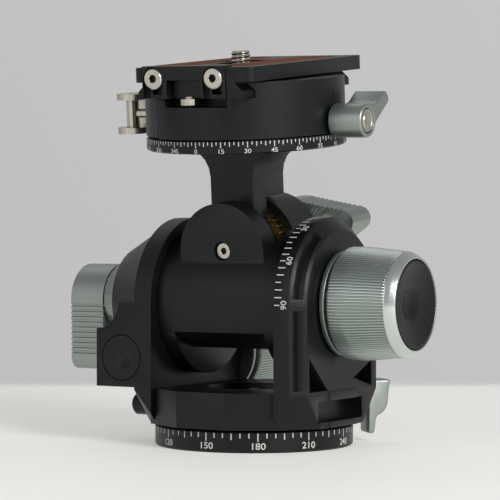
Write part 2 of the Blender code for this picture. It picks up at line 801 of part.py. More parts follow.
def corner_frustum(pan):
    """The four-sided taper that trims the legs' lower corners at 45 degrees."""
    height = CORNER_TOP - YOKE_BOTTOM
    corner = math.sqrt(2)
    taper = rod(
        "corner_taper",
        pan,
        (0, 0, 1),
        (0, 0, YOKE_BOTTOM - OVERRUN),
        (CORNER_RADIUS - CORNER_FLARE * OVERRUN) * corner,
        height + OVERRUN,
        sides=4,
        end_radius=(CORNER_RADIUS + CORNER_FLARE * height) * corner,
    )
    return taper


def corner_frustum_tall(pan):
    """The taper with a tall box on it, so that it trims nothing above the corners."""
    taper = corner_frustum(pan)
    reach = LEG_HALF_DEPTH * 2
    tall = (CORNER_TOP - GAP, AXIS_1_HEIGHT + reach)
    top = block("above_corners", pan, (-reach, reach), (-reach, reach), tall)
    fuse(taper, top)
    return taper


def band_outline(start_degrees, end_degrees, outer, inner):
    """A stretch of a ring about axis 1, in (y, z)."""
    centre = (0, AXIS_1_HEIGHT)
    return arc(centre, outer, start_degrees, end_degrees, BAND_STEPS) + arc(
        centre, inner, end_degrees, start_degrees, BAND_STEPS
    )


def make_yoke(pan):
    facets = PLATFORM_FACETS
    corner_radius = PLATFORM_APOTHEM / math.cos(math.pi / facets)
    platform_outline = arc((0, 0), corner_radius, 180 / facets, 360 - 180 / facets, facets - 1)
    yoke = along_z("yoke_frame", pan, [platform_outline], (YOKE_BOTTOM, PLATFORM_TOP), BLACK)
    right = along_x("right_leg", pan, [leg_outline()], (RIGHT_LEG_INNER, RIGHT_LEG_OUTER))
    half = (RIGHT_LEG_OUTER - RIGHT_LEG_INNER) / 2
    face = half - GAP
    bevel_where(
        right,
        RIGHT_LEG_CHAMFER,
        lambda one, other: min(one.z, other.z) > face and max(one.y, other.y) > YOKE_BOTTOM + GAP,
    )
    left = along_x("left_leg", pan, [leg_outline()], (-LEFT_LEG_OUTER, -LEFT_LEG_INNER))
    trim = corner_frustum_tall(pan)
    for leg in (right, left):
        keep(leg, trim)
        fuse(yoke, leg)
    cone = rod(
        "left_cone",
        pan,
        (-1, 0, 0),
        (-LEFT_LEG_OUTER + OVERRUN, 0, AXIS_1_HEIGHT),
        LEFT_CONE_RADIUS,
        LEFT_CONE_END - LEFT_LEG_OUTER + OVERRUN,
        sides=LARGE_SIDES,
        end_radius=LEFT_CONE_END_RADIUS,
    )
    neck_radius = HOUSING_END - HOUSING_NECK
    neck = arc((-HOUSING_END, AXIS_1_HEIGHT), neck_radius, -90, 0, BAND_STEPS)
    housing_outline = [
        (-LEFT_LEG_INNER, HOUSING_BOTTOM),
        (-HOUSING_END, HOUSING_BOTTOM),
        *neck,
        (-LEFT_LEG_INNER, AXIS_1_HEIGHT),
    ]
    housing = along_y("housing", pan, [housing_outline], (-LEG_HALF_DEPTH, LEG_HALF_DEPTH))
    lug = turned(
        "left_lug",
        pan,
        (-1, 0, 0),
        (0, 0, LUG_HEIGHT),
        [
            (0, LUG_END),
            (LUG_RADIUS - POCKET_EDGE, LUG_END),
            (LUG_RADIUS, LUG_END - POCKET_EDGE),
            (LUG_RADIUS, LEFT_LEG_INNER),
            (0, LEFT_LEG_INNER),
        ],
        sides=MEDIUM_SIDES,
    )
    fuse(yoke, cone, housing, lug)
    cut_yoke(yoke, pan)
    return yoke


def cut_yoke(yoke, pan):
    axis = (0, AXIS_1_HEIGHT)
    far = OVERRUN
    hub_bore = BASE_HUB_RADIUS + GAP
    cut(yoke, rod("pan_bore", pan, (0, 0, 1), (0, 0, 0), hub_bore, PLATFORM_TOP, sides=MEDIUM_SIDES))
    well = rod(
        "retainer_well",
        pan,
        (0, 0, 1),
        (0, 0, BASE_HUB_TOP),
        RETAINER_RADIUS + 2 * GAP,
        PLATFORM_TOP,
        sides=MEDIUM_SIDES,
    )
    cut(yoke, well)
    trunnion_hole = rod(
        "right_bore",
        pan,
        (1, 0, 0),
        (RIGHT_LEG_INNER - far, 0, axis[1]),
        TRUNNION_RADIUS + BUSH_WALL + 2 * GAP,
        RIGHT_LEG_OUTER - RIGHT_LEG_INNER + 2 * far,
        sides=MEDIUM_SIDES,
    )
    wheel_room = rod(
        "wheel_room",
        pan,
        (-1, 0, 0),
        (-LEFT_LEG_INNER + far, 0, axis[1]),
        WHEEL_TIP + 2 * GAP,
        -TILT_WORM_ACROSS + WHEEL_WIDTH / 2 + GAP - LEFT_LEG_INNER + far,
        sides=MEDIUM_SIDES,
    )
    shaft_hole = rod(
        "tilt_shaft_hole",
        pan,
        (-1, 0, 0),
        (-LEFT_LEG_INNER, 0, axis[1]),
        TILT_SHAFT_RADIUS + GAP,
        LEFT_CONE_END,
        sides=MEDIUM_SIDES,
    )
    worm_room = rod(
        "tilt_worm_room",
        pan,
        (0, 1, 0),
        (TILT_WORM_ACROSS, -LEG_HALF_DEPTH - far, TILT_WORM_HEIGHT),
        CAP_RADIUS + GAP,
        2 * (LEG_HALF_DEPTH + far),
        sides=MEDIUM_SIDES,
    )
    cut(yoke, trunnion_hole, wheel_room, shaft_hole, worm_room)
    corner = math.radians(PAN_LOCK_CORNER_DEGREES)
    out = Vector((math.cos(corner), math.sin(corner), 0))
    level = Vector((0, 0, PAN_LOCK_HEIGHT))
    spot = rod(
        "pan_lock_spot",
        pan,
        out,
        level + out * (PAN_LOCK_START - GAP),
        LOCK_HUB_RADIUS + 2 * GAP,
        PAN_LOCK_LENGTH,
        sides=MEDIUM_SIDES,
    )
    thread = rod(
        "pan_lock_hole",
        pan,
        out,
        level + out * (PAN_LOCK_START - LOCK_SCREW_REACH - GAP),
        LOCK_SCREW_RADIUS + GAP,
        PAN_LOCK_LENGTH,
        sides=SMALL_SIDES,
    )
    cut(yoke, spot, thread)
    cut_windows(yoke, pan)


def cut_windows(yoke, pan):
    """The pockets in the right leg's outer face and in its chamfer."""
    floor = RIGHT_LEG_OUTER - POCKET_DEPTH
    outer = RIGHT_LEG_OUTER + OVERRUN
    low = PLATFORM_TOP + GAP
    depth = LEG_HALF_DEPTH
    leg_height = AXIS_1_HEIGHT - YOKE_BOTTOM
    front = -depth * FRONT_WINDOW_REACH_SHARE
    back = depth * BACK_WINDOW_REACH_SHARE
    front_window = [
        (front, low),
        (-depth * FRONT_WINDOW_FOOT_SHARE, low),
        (front, low + leg_height * FRONT_WINDOW_HEIGHT_SHARE),
    ]
    back_window = [
        (back, low),
        (back, low + leg_height * BACK_WINDOW_HEIGHT_SHARE),
        (depth * BACK_WINDOW_FOOT_SHARE, low + leg_height * BACK_WINDOW_SLOPE_SHARE),
    ]
    foot_low = YOKE_BOTTOM + leg_height * FOOT_WINDOW_LOW_SHARE
    foot_top = YOKE_BOTTOM + leg_height * FOOT_WINDOW_TOP_SHARE
    foot_front = -depth * FOOT_WINDOW_FRONT_SHARE
    foot_back = depth * FOOT_WINDOW_BACK_SHARE
    foot = [(foot_front, foot_low), (foot_back, foot_low), (foot_back, foot_top), (foot_front, foot_top)]
    for name, outline in (("front_window", front_window), ("back_window", back_window), ("foot_window", foot)):
        cut(yoke, along_x(name, pan, [outline], (floor, outer)))
    chamfer_start = RIGHT_LEG_OUTER - RIGHT_LEG_CHAMFER
    outer_radius = LEG_HALF_DEPTH - POCKET_EDGE
    inner_radius = LEG_HALF_DEPTH - RIGHT_LEG_CHAMFER + POCKET_EDGE
    for name, side_sign in (("front", -1), ("back", 1)):
        straight = [
            (side_sign * outer_radius, PLATFORM_TOP + POCKET_EDGE),
            (side_sign * inner_radius, PLATFORM_TOP + POCKET_EDGE),
            (side_sign * inner_radius, AXIS_1_HEIGHT - 2 * POCKET_EDGE),
            (side_sign * outer_radius, AXIS_1_HEIGHT - 2 * POCKET_EDGE),
        ]
        start = CURVED_POCKET_START_DEGREES
        end = CURVED_POCKET_END_DEGREES
        if side_sign < 0:
            start = 180 - start
            end = 180 - end
        curved = band_outline(start, end, outer_radius, inner_radius)
        span = (chamfer_start + POCKET_EDGE, outer)
        cut(yoke, along_x(f"{name}_straight_pocket", pan, [straight], span))
        cut(yoke, along_x(f"{name}_curved_pocket", pan, [curved], span))


def make_yoke_fittings(pan):
    front = -LEG_HALF_DEPTH
    turned(
        "worm_bore_cap",
        pan,
        (0, -1, 0),
        (TILT_WORM_ACROSS, front + CAP_THICKNESS, TILT_WORM_HEIGHT),
        [
            (0, CAP_THICKNESS - CAP_DIMPLE),
            (CAP_RADIUS * CAP_DIMPLE_INNER_SHARE, CAP_THICKNESS - CAP_DIMPLE * CAP_DIMPLE_FALL_SHARE),
            (CAP_RADIUS * CAP_DIMPLE_OUTER_SHARE, CAP_THICKNESS),
            (CAP_RADIUS, CAP_THICKNESS),
            (CAP_RADIUS, 0),
            (0, 0),
        ],
        BLACK,
        MEDIUM_SIDES,
    )
    bush_length = 2 * CAP_THICKNESS
    rear_start = -front - bush_length
    for name, start in (("tilt_worm_bush_front", TILT_WORM_FRONT), ("tilt_worm_bush_rear", rear_start)):
        tube(
            name,
            pan,
            (0, 1, 0),
            (TILT_WORM_ACROSS, start, TILT_WORM_HEIGHT),
            CAP_RADIUS,
            KNOB_SHAFT_RADIUS + GAP,
            bush_length,
            BRONZE,
            MEDIUM_SIDES,
        )
    worm_side = -TILT_WORM_ACROSS - TILT_WORM_PITCH_RADIUS - WORM_ADDENDUM
    tube(
        "tilt_bearing_left",
        pan,
        (-1, 0, 0),
        (-LEFT_LEG_INNER, 0, AXIS_1_HEIGHT),
        WHEEL_TIP + GAP,
        TILT_SHAFT_RADIUS + GAP,
        worm_side - LEFT_LEG_INNER - GAP,
        BRONZE,
    )
    tube(
        "tilt_bearing_right",
        pan,
        (1, 0, 0),
        (RIGHT_LEG_INNER + GAP, 0, AXIS_1_HEIGHT),
        TRUNNION_RADIUS + BUSH_WALL + GAP,
        TRUNNION_RADIUS + GAP,
        RIGHT_LEG_OUTER - RIGHT_LEG_INNER - 2 * GAP,
        BRONZE,
    )


def shafted_worm(name, parent, direction, middle, pitch_radius, turn_degrees, shaft_start, shaft_end):
    """A worm and its shaft in one piece. The start and end are distances along the direction."""
    thread = worm_thread(f"{name}_thread", parent, direction, middle, pitch_radius, turn_degrees)
    root = pitch_radius - WORM_DEDENDUM
    half = WORM_LENGTH / 2
    core = turned(
        name,
        parent,
        direction,
        middle,
        [
            (0, shaft_end),
            (KNOB_SHAFT_RADIUS, shaft_end),
            (KNOB_SHAFT_RADIUS, half),
            (root, half),
            (root, -half),
            (KNOB_SHAFT_RADIUS, -half),
            (KNOB_SHAFT_RADIUS, shaft_start),
            (0, shaft_start),
        ],
        STEEL,
        WORM_STEPS,
    )
    fuse(core, thread)
    return core


def make_tilt_drive(pan):
    spin = axis_frame("tilt_knob_axis", pan, (TILT_WORM_ACROSS, 0, TILT_WORM_HEIGHT))
    collar_start = LEG_HALF_DEPTH + 3 * GAP
    reach = knob_pieces("tilt_knob", spin, (0, 1, 0), (0, collar_start, 0))
    shafted_worm(
        "tilt_worm",
        spin,
        (0, 1, 0),
        (0, 0, 0),
        TILT_WORM_PITCH_RADIUS,
        -TILT_REST_DEGREES * WHEEL_TEETH,
        TILT_WORM_FRONT + GAP,
        collar_start + reach,
    )


def make_drum(tilt):
    drum = rod(
        "drum", tilt, (1, 0, 0), (DRUM_LEFT, 0, 0), DRUM_RADIUS, DRUM_RIGHT - DRUM_LEFT, BLACK, LARGE_SIDES
    )
    dome = arc((0, AXIS_SPACING), HEAD_RADIUS, 0, 180, LARGE_SIDES // 2)
    head_outline = dome + [(-HEAD_RADIUS, 0), (HEAD_RADIUS, 0)]
    fuse(drum, along_y("drum_head", tilt, [head_outline], (HEAD_FRONT, HEAD_BACK + OVERRUN)))
    below = DRUM_RADIUS + OVERRUN
    side = math.sqrt(DRUM_RADIUS**2 - UNDERSIDE_EDGE_DROP**2)
    under = [
        (-below, -UNDERSIDE_EDGE_DROP + (below - side) * UNDERSIDE_SLOPE_SHARE),
        (-UNDERSIDE_HALF_FLAT, -UNDERSIDE_DROP),
        (UNDERSIDE_HALF_FLAT, -UNDERSIDE_DROP),
        (below, -UNDERSIDE_EDGE_DROP + (below - side) * UNDERSIDE_SLOPE_SHARE),
        (below, -below),
        (-below, -below),
    ]
    cut(drum, along_x("drum_underside", tilt, [under], (FLANGE_LEFT_INNER, FLANGE_RIGHT_INNER)))
    slot_length = SLOT_BACK - SLOT_FRONT
    pocket = rod(
        "hub_pocket",
        tilt,
        (0, 1, 0),
        (0, SLOT_FRONT, AXIS_SPACING),
        HUB_POCKET_RADIUS,
        slot_length,
        sides=MEDIUM_SIDES,
    )
    opening = block(
        "arm_slot",
        tilt,
        (-HEAD_RADIUS - OVERRUN, HEAD_RADIUS + OVERRUN),
        (SLOT_FRONT, SLOT_BACK),
        (AXIS_SPACING - OVERRUN, AXIS_SPACING + HEAD_RADIUS + OVERRUN),
    )
    cut(drum, pocket, opening)
    worm_tip = ROLL_WORM_PITCH_RADIUS + WORM_ADDENDUM
    worm_room = rod(
        "roll_worm_room",
        tilt,
        (1, 0, 0),
        (-WORM_LENGTH / 2 - GAP, 0, 0),
        worm_tip + GAP,
        DRUM_RIGHT + WORM_LENGTH / 2 + OVERRUN,
        sides=MEDIUM_SIDES,
    )
    left_end = rod(
        "roll_worm_end",
        tilt,
        (1, 0, 0),
        (-WORM_LENGTH / 2 - CAP_THICKNESS, 0, 0),
        KNOB_SHAFT_RADIUS + GAP,
        WORM_LENGTH,
        sides=MEDIUM_SIDES,
    )
    shaft_socket = rod(
        "tilt_shaft_socket",
        tilt,
        (-1, 0, 0),
        (FLANGE_LEFT_INNER, 0, 0),
        TILT_SHAFT_RADIUS + GAP,
        FLANGE_LEFT_INNER - DRUM_LEFT + OVERRUN,
        sides=MEDIUM_SIDES,
    )
    cut(drum, worm_room, left_end, shaft_socket)
    axle_hole = rod(
        "roll_axle_hole",
        tilt,
        (0, 1, 0),
        (0, SLOT_FRONT - CAP_THICKNESS, AXIS_SPACING),
        ROLL_AXLE_RADIUS + BUSH_WALL + GAP,
        HEAD_BACK - SLOT_FRONT + CAP_THICKNESS + OVERRUN,
        sides=MEDIUM_SIDES,
    )
    recess = rod(
        "pivot_recess",
        tilt,
        (0, 1, 0),
        (0, HEAD_FRONT - OVERRUN, AXIS_SPACING),
        PIVOT_SCREW_RADIUS + GAP,
        PIVOT_SCREW_LENGTH + PIVOT_RECESS + OVERRUN,
        sides=SMALL_SIDES,
    )
    lever_seat = rod(
        "roll_lever_seat",
        tilt,
        (0, 1, 0),
        (0, HEAD_BACK, AXIS_SPACING),
        LEVER_RING_RADIUS + 2 * GAP,
        DRUM_RADIUS,
        sides=LARGE_SIDES,
    )
    cut(drum, axle_hole, recess, lever_seat)
    return drum


def make_drum_fittings(tilt):
    rod(
        "pivot_screw",
        tilt,
        (0, 1, 0),
        (0, HEAD_FRONT + PIVOT_RECESS, AXIS_SPACING),
        PIVOT_SCREW_RADIUS,
        SLOT_FRONT - CAP_THICKNESS - GAP - HEAD_FRONT - PIVOT_RECESS,
        STEEL,
    )
    tube(
        "roll_bush_front",
        tilt,
        (0, 1, 0),
        (0, SLOT_FRONT - CAP_THICKNESS + GAP, AXIS_SPACING),
        ROLL_AXLE_RADIUS + BUSH_WALL,
        ROLL_AXLE_RADIUS + GAP,
        CAP_THICKNESS - GAP,
        BRONZE,
        MEDIUM_SIDES,
    )
    tube(
        "roll_bush_rear",
        tilt,
        (0, 1, 0),
        (0, SLOT_BACK + GAP, AXIS_SPACING),
        ROLL_AXLE_RADIUS + BUSH_WALL,
        ROLL_AXLE_RADIUS + GAP,
        HEAD_BACK - SLOT_BACK - GAP,
        BRONZE,
        MEDIUM_SIDES,
    )
    lever_start = -LEFT_CONE_END - 2 * GAP
    shaft_start = FLANGE_LEFT_INNER - GAP
    rod(
        "tilt_shaft",
        tilt,
        (-1, 0, 0),
        (shaft_start, 0, 0),
        TILT_SHAFT_RADIUS,
        shaft_start - lever_start - GAP,
        STEEL,
        MEDIUM_SIDES,
    )
    worm_wheel("tilt_worm_wheel", tilt, (1, 0, 0), (TILT_WORM_ACROSS, 0, 0), TILT_SHAFT_RADIUS + WHEEL_BORE_GAP)
    trunnion_start = WORM_LENGTH / 2 + 2 * GAP
    tube(
        "roll_worm_sleeve",
        tilt,
        (1, 0, 0),
        (trunnion_start, 0, 0),
        ROLL_WORM_PITCH_RADIUS + WORM_ADDENDUM,
        KNOB_SHAFT_RADIUS + GAP,
        DRUM_RIGHT - trunnion_start,
        BRONZE,
        MEDIUM_SIDES,
    )
    tube(
        "right_trunnion",
        tilt,
        (1, 0, 0),
        (DRUM_RIGHT + GAP, 0, 0),
        TRUNNION_RADIUS,
        KNOB_SHAFT_RADIUS + GAP,
        RIGHT_LEG_OUTER - DRUM_RIGHT - 2 * GAP,
        STEEL,
        MEDIUM_SIDES,
    )


def make_roll_drive(tilt):
    collar_start = RIGHT_LEG_OUTER + 2 * GAP
    reach = knob_pieces("roll_knob", tilt, (1, 0, 0), (collar_start, 0, 0))
    shafted_worm(
        "roll_worm",
        tilt,
        (1, 0, 0),
        (0, 0, 0),
        ROLL_WORM_PITCH_RADIUS,
        ROLL_REST_DEGREES * WHEEL_TEETH,
        -WORM_LENGTH / 2 - CAP_THICKNESS + GAP,
        collar_start + reach,
    )


def make_arm(roll):
    hub_length = ARM_SLAB_BACK - ARM_FRONT
    arm = rod("arm", roll, (0, 1, 0), (0, ARM_FRONT, 0), ARM_HUB_RADIUS, hub_length, BLACK, MEDIUM_SIDES)
    slab = block(
        "arm_slab",
        roll,
        (-ARM_HALF_WIDTH, ARM_HALF_WIDTH),
        (ARM_FRONT, ARM_SLAB_BACK),
        (0, RING_BOTTOM + OVERRUN),
    )
    post = block(
        "arm_post",
        roll,
        (-ARM_HALF_WIDTH, ARM_HALF_WIDTH),
        (ARM_FRONT, ARM_BACK),
        (ARM_SHOULDER, RING_BOTTOM + OVERRUN),
    )
    flare_left = arc((-ARM_HALF_WIDTH - ARM_FLARE, RING_BOTTOM - ARM_FLARE), ARM_FLARE, 90, 0, 5)
    flare_right = [(-across, up) for across, up in reversed(flare_left)]
    flare_outline = [
        *flare_left,
        (-ARM_HALF_WIDTH + OVERRUN, RING_BOTTOM - ARM_FLARE),
        (ARM_HALF_WIDTH - OVERRUN, RING_BOTTOM - ARM_FLARE),
        *flare_right,
        (ARM_HALF_WIDTH + ARM_FLARE, RING_BOTTOM + OVERRUN),
        (-ARM_HALF_WIDTH - ARM_FLARE, RING_BOTTOM + OVERRUN),
    ]
    flare = along_y("arm_flare", roll, [flare_outline], (ARM_FRONT, ARM_BACK))
    edge = BASE_EDGE
    ring = turned(
        "arm_ring",
        roll,
        (0, 0, 1),
        (0, 0, RING_BOTTOM),
        [
            (0, RING_HEIGHT + CLAMP_POST_HEIGHT),
            (CLAMP_POST_RADIUS, RING_HEIGHT + CLAMP_POST_HEIGHT),
            (CLAMP_POST_RADIUS, RING_HEIGHT),
            (RING_RADIUS - edge, RING_HEIGHT),
            (RING_RADIUS, RING_HEIGHT - edge),
            (RING_RADIUS, edge),
            (RING_RADIUS - edge, 0),
            (0, 0),
        ],
        sides=LARGE_SIDES,
    )
    fuse(arm, slab, post, flare, ring)
    bore = rod(
        "arm_bore",
        roll,
        (0, 1, 0),
        (0, ARM_FRONT - OVERRUN, 0),
        ROLL_AXLE_RADIUS + WHEEL_BORE_GAP,
        hub_length + 2 * OVERRUN,
        sides=MEDIUM_SIDES,
    )
    cut(arm, bore)
    worm_wheel("roll_worm_wheel", roll, (0, 1, 0), (0, 0, 0), ROLL_AXLE_RADIUS + WHEEL_BORE_GAP)
    axle_start = SLOT_FRONT - CAP_THICKNESS + 2 * GAP
    rod(
        "roll_axle",
        roll,
        (0, 1, 0),
        (0, axle_start, 0),
        ROLL_AXLE_RADIUS,
        HEAD_BACK - axle_start,
        STEEL,
        MEDIUM_SIDES,
    )


def jaw_outline(inner, top, foot):
    """A jaw's section in (x, z) on the +X side, with the undercut that holds the dovetail."""
    undercut = DOVETAIL_HALF_WIDTH - DOVETAIL_NECK_HALF_WIDTH
    lip = inner - undercut
    plate_floor = PLATE_BOTTOM
    reach = CLAMP_RADIUS + OVERRUN
    return [
        (lip, top),
        (reach, top),
        (reach, foot),
        (inner, foot),
        (inner, plate_floor + DOVETAIL_STRAIGHT),
        (lip, plate_floor + DOVETAIL_HEIGHT),
    ]


def make_clamp(swing):
    clamp = rod(
        "clamp_body", swing, (0, 0, 1), (0, 0, CLAMP_BOTTOM), CLAMP_RADIUS, CLAMP_HEIGHT, BLACK, LARGE_SIDES
    )
    inner = DOVETAIL_HALF_WIDTH + JAW_CLEARANCE
    top = CLAMP_BOTTOM + JAW_HEIGHT
    fixed_jaw = along_y(
        "fixed_jaw", swing, [jaw_outline(inner, top, CLAMP_BOTTOM + OVERRUN)], (-CLAMP_RADIUS, CLAMP_RADIUS)
    )
    round_bound = rod(
        "round_bound",
        swing,
        (0, 0, 1),
        (0, 0, CLAMP_BOTTOM),
        CLAMP_RADIUS,
        JAW_HEIGHT + OVERRUN,
        sides=LARGE_SIDES,
    )
    keep(fixed_jaw, round_bound)
    fuse(clamp, fixed_jaw)
    beyond = CLAMP_RADIUS + OVERRUN
    cut(
        clamp,
        block(
            "jaw_room",
            swing,
            (-beyond, -JAW_SEAM),
            (-beyond, beyond),
            (CLAMP_BOTTOM - OVERRUN, top + OVERRUN),
        ),
    )
    post_room = rod(
        "post_room",
        swing,
        (0, 0, 1),
        (0, 0, CLAMP_BOTTOM - OVERRUN),
        CLAMP_POST_RADIUS + GAP,
        CLAMP_POST_HEIGHT + OVERRUN,
        sides=MEDIUM_SIDES,
    )
    cut(clamp, post_room)
    for side_sign in (-1, 1):
        reach = sorted((side_sign * RECESS_REACH, side_sign * beyond))
        recess = block(
            "recess",
            swing,
            (-RECESS_HALF_WIDTH, RECESS_HALF_WIDTH),
            reach,
            (CLAMP_TOP - RECESS_DEPTH, CLAMP_TOP + OVERRUN),
        )
        cut(clamp, recess)
    rod_level = CLAMP_BOTTOM + TENSION_ROD_HEIGHT
    jaw_outer = -DOVETAIL_HALF_WIDTH - JAW_CLEARANCE
    mirrored = [(-across, up) for across, up in jaw_outline(inner, top, CLAMP_BOTTOM + GAP)]
    jaw_foot = [(-JAW_SEAM - GAP, CLAMP_TOP), (jaw_outer, CLAMP_TOP)]
    jaw_section = mirrored[:3] + [(-JAW_SEAM - GAP, CLAMP_BOTTOM + GAP)] + jaw_foot + mirrored[4:]
    jaw = along_y("movable_jaw", swing, [jaw_section], (-CLAMP_RADIUS, CLAMP_RADIUS), BLACK)
    keep(jaw, round_bound)
    post_edge = CLAMP_POST_RADIUS + 2 * GAP
    pin_start = -JAW_SEAM + GUIDE_PIN_LENGTH / 2
    guide_pins = (("clamp_guide_pin_front", -GUIDE_PIN_OFFSET), ("clamp_guide_pin_rear", GUIDE_PIN_OFFSET))
    for name, offset in guide_pins:
        rod(name, swing, (-1, 0, 0), (pin_start, offset, rod_level), GUIDE_PIN_RADIUS, GUIDE_PIN_LENGTH, STEEL)
        hole = rod(
            f"{name}_hole",
            swing,
            (-1, 0, 0),
            (pin_start + GAP, offset, rod_level),
            GUIDE_PIN_RADIUS + GAP,
            GUIDE_PIN_LENGTH + 2 * JAW_TRAVEL,
            sides=SMALL_SIDES,
        )
        cut(clamp, hole)
        cut(jaw, hole)
    rod_start = -post_edge - GAP
    rod_end = CAM_PIN_ACROSS + CAM_PIN_RADIUS + GAP
    rod_length = rod_start - rod_end
    rod("tension_rod", swing, (-1, 0, 0), (rod_start, 0, rod_level), TENSION_ROD_RADIUS, rod_length, STEEL)
    rod_hole = rod(
        "tension_rod_hole",
        swing,
        (-1, 0, 0),
        (rod_start + GAP, 0, rod_level),
        TENSION_ROD_RADIUS + GAP,
        rod_length,
        sides=SMALL_SIDES,
    )
    cut(clamp, rod_hole)
    cut(jaw, rod_hole)
    lock_level = CLAMP_BOTTOM + CLAMP_LOCK_HEIGHT
    lock_hole = rod(
        "clamp_lock_hole",
        swing,
        (1, 0, 0),
        (CLAMP_LOCK_START - LOCK_SCREW_REACH - GAP, 0, lock_level),
        LOCK_SCREW_RADIUS + GAP,
        2 * LOCK_SCREW_REACH,
        sides=SMALL_SIDES,
    )
    cut(clamp, lock_hole)
    make_cam(swing, rod_level)


def make_cam(swing, level):
    """The cam lever at the left: two flat plates on an upright pin, joined by a cam block behind it."""
    pin_half = (JAW_HEIGHT - 2 * CAM_PLATE_THICKNESS) / 2
    cam = axis_frame("cam_axis", swing, (CAM_PIN_ACROSS, 0, level))
    outline = tangent_outline(CAM_PLATE_RADIUS, CAM_PIN_RADIUS, CAM_PLATE_RADIUS * 4, 8)
    lever = along_z("cam_lever", cam, [outline], (-pin_half, pin_half), STEEL)
    lever.matrix_local = Matrix.Rotation(math.radians(CAM_LEVER_DEGREES), 4, "Z")
    gap_half = pin_half - CAM_PLATE_THICKNESS
    waist = rod(
        "cam_waist",
        cam,
        (0, 0, 1),
        (0, 0, -gap_half),
        CAM_PLATE_RADIUS + OVERRUN,
        2 * gap_half,
        sides=MEDIUM_SIDES,
    )
    bore = rod("cam_bore", cam, (0, 0, 1), (0, 0, -2 * pin_half), CAM_PIN_RADIUS + GAP, 4 * pin_half)
    cut(lever, waist, bore)
    rod("cam_pin", cam, (0, 0, 1), (0, 0, -pin_half), CAM_PIN_RADIUS, 2 * pin_half, STEEL, SMALL_SIDES)


def make_plate(swing):
    bottom = PLATE_BOTTOM
    top = bottom + FLANGE_TOP
    half_section = [
        (DOVETAIL_HALF_WIDTH, bottom),
        (DOVETAIL_HALF_WIDTH, bottom + DOVETAIL_STRAIGHT),
        (DOVETAIL_NECK_HALF_WIDTH, bottom + DOVETAIL_HEIGHT),
        (DOVETAIL_NECK_HALF_WIDTH, bottom + FLANGE_BOTTOM + OVERRUN),
    ]
    section = half_section + [(-across, up) for across, up in reversed(half_section)]
    corners = []
    corner_left = PLATE_LEFT + PLATE_CORNER
    corner_right = PLATE_RIGHT - PLATE_CORNER
    for centre, start in (
        ((corner_right, PLATE_BACK - PLATE_CORNER), 0),
        ((corner_left, PLATE_BACK - PLATE_CORNER), 90),
        ((corner_left, PLATE_FRONT + PLATE_CORNER), 180),
        ((corner_right, PLATE_FRONT + PLATE_CORNER), 270),
    ):
        corners += arc(centre, PLATE_CORNER, start, start + 90, 4)
    plate = along_z("quick_release_plate", swing, [corners], (bottom + FLANGE_BOTTOM, top), BLACK)
    inset = (PLATE_FRONT + GAP, PLATE_BACK - PLATE_CORNER)
    fuse(plate, along_y("dovetail", swing, [section], inset))
    lip_back = PLATE_FRONT + LIP_DEPTH
    notch = block(
        "lip_notch",
        swing,
        (LIP_LEFT - GAP, LIP_RIGHT + GAP),
        (PLATE_FRONT - OVERRUN, lip_back + GAP),
        (bottom - OVERRUN, top + OVERRUN),
    )
    slot = block(
        "screw_slot",
        swing,
        (CAMERA_SCREW_ACROSS - SCREW_SLOT_HALF_WIDTH, CAMERA_SCREW_ACROSS + SCREW_SLOT_HALF_WIDTH),
        (-SCREW_SLOT_HALF_LENGTH, SCREW_SLOT_HALF_LENGTH),
        (bottom - OVERRUN, top + OVERRUN),
    )
    head_room = CAMERA_SCREW_HEAD_RADIUS + 2 * GAP
    head_slot = block(
        "screw_head_slot",
        swing,
        (CAMERA_SCREW_ACROSS - head_room, CAMERA_SCREW_ACROSS + head_room),
        (-head_room - CAMERA_SCREW_TRAVEL, head_room + CAMERA_SCREW_TRAVEL),
        (bottom - OVERRUN, bottom + CAMERA_SCREW_HEAD_HEIGHT + 3 * GAP),
    )
    cut(plate, notch, slot, head_slot)
    strip_middle = (STRIP_INNER + STRIP_OUTER) / 2
    strip_half = (STRIP_OUTER - STRIP_INNER) / 2
    for name, side_sign in (("grip_strip_left", -1), ("grip_strip_right", 1)):
        middle = side_sign * strip_middle
        groove = block(
            f"{name}_groove",
            swing,
            (middle - strip_half - GAP, middle + strip_half + GAP),
            (-STRIP_HALF_LENGTH + LIP_DEPTH - GAP, STRIP_HALF_LENGTH + GAP),
            (top - STRIP_DEPTH, top + OVERRUN),
        )
        cut(plate, groove)
        block(
            name,
            swing,
            (middle - strip_half, middle + strip_half),
            (-STRIP_HALF_LENGTH + LIP_DEPTH, STRIP_HALF_LENGTH),
            (top - STRIP_DEPTH + GAP, top + STRIP_RISE),
            RUBBER,
        )
    stop_top = bottom + FLANGE_BOTTOM / 2
    for name, side_sign in (("stop_screw_front", -1), ("stop_screw_rear", 1)):
        at = (STOP_SCREW_ACROSS, side_sign * STOP_SCREW_REACH, bottom)
        shank = STOP_SCREW_RADIUS / 2
        turned(
            name,
            swing,
            (0, 0, 1),
            at,
            [
                (0, stop_top - bottom),
                (shank, stop_top - bottom),
                (shank, -GAP),
                (STOP_SCREW_RADIUS, -GAP),
                (STOP_SCREW_RADIUS, -GAP - STOP_SCREW_HEIGHT),
                (0, -GAP - STOP_SCREW_HEIGHT),
            ],
            STEEL,
            SMALL_SIDES,
        )
        hole = rod(
            f"{name}_hole",
            swing,
            (0, 0, 1),
            (at[0], at[1], bottom - OVERRUN),
            shank + GAP,
            stop_top + GAP + OVERRUN - bottom,
            sides=SMALL_SIDES,
        )
        cut(plate, hole)
    make_lip(swing, plate, bottom, lip_back)
    make_camera_screw(swing, bottom, top)


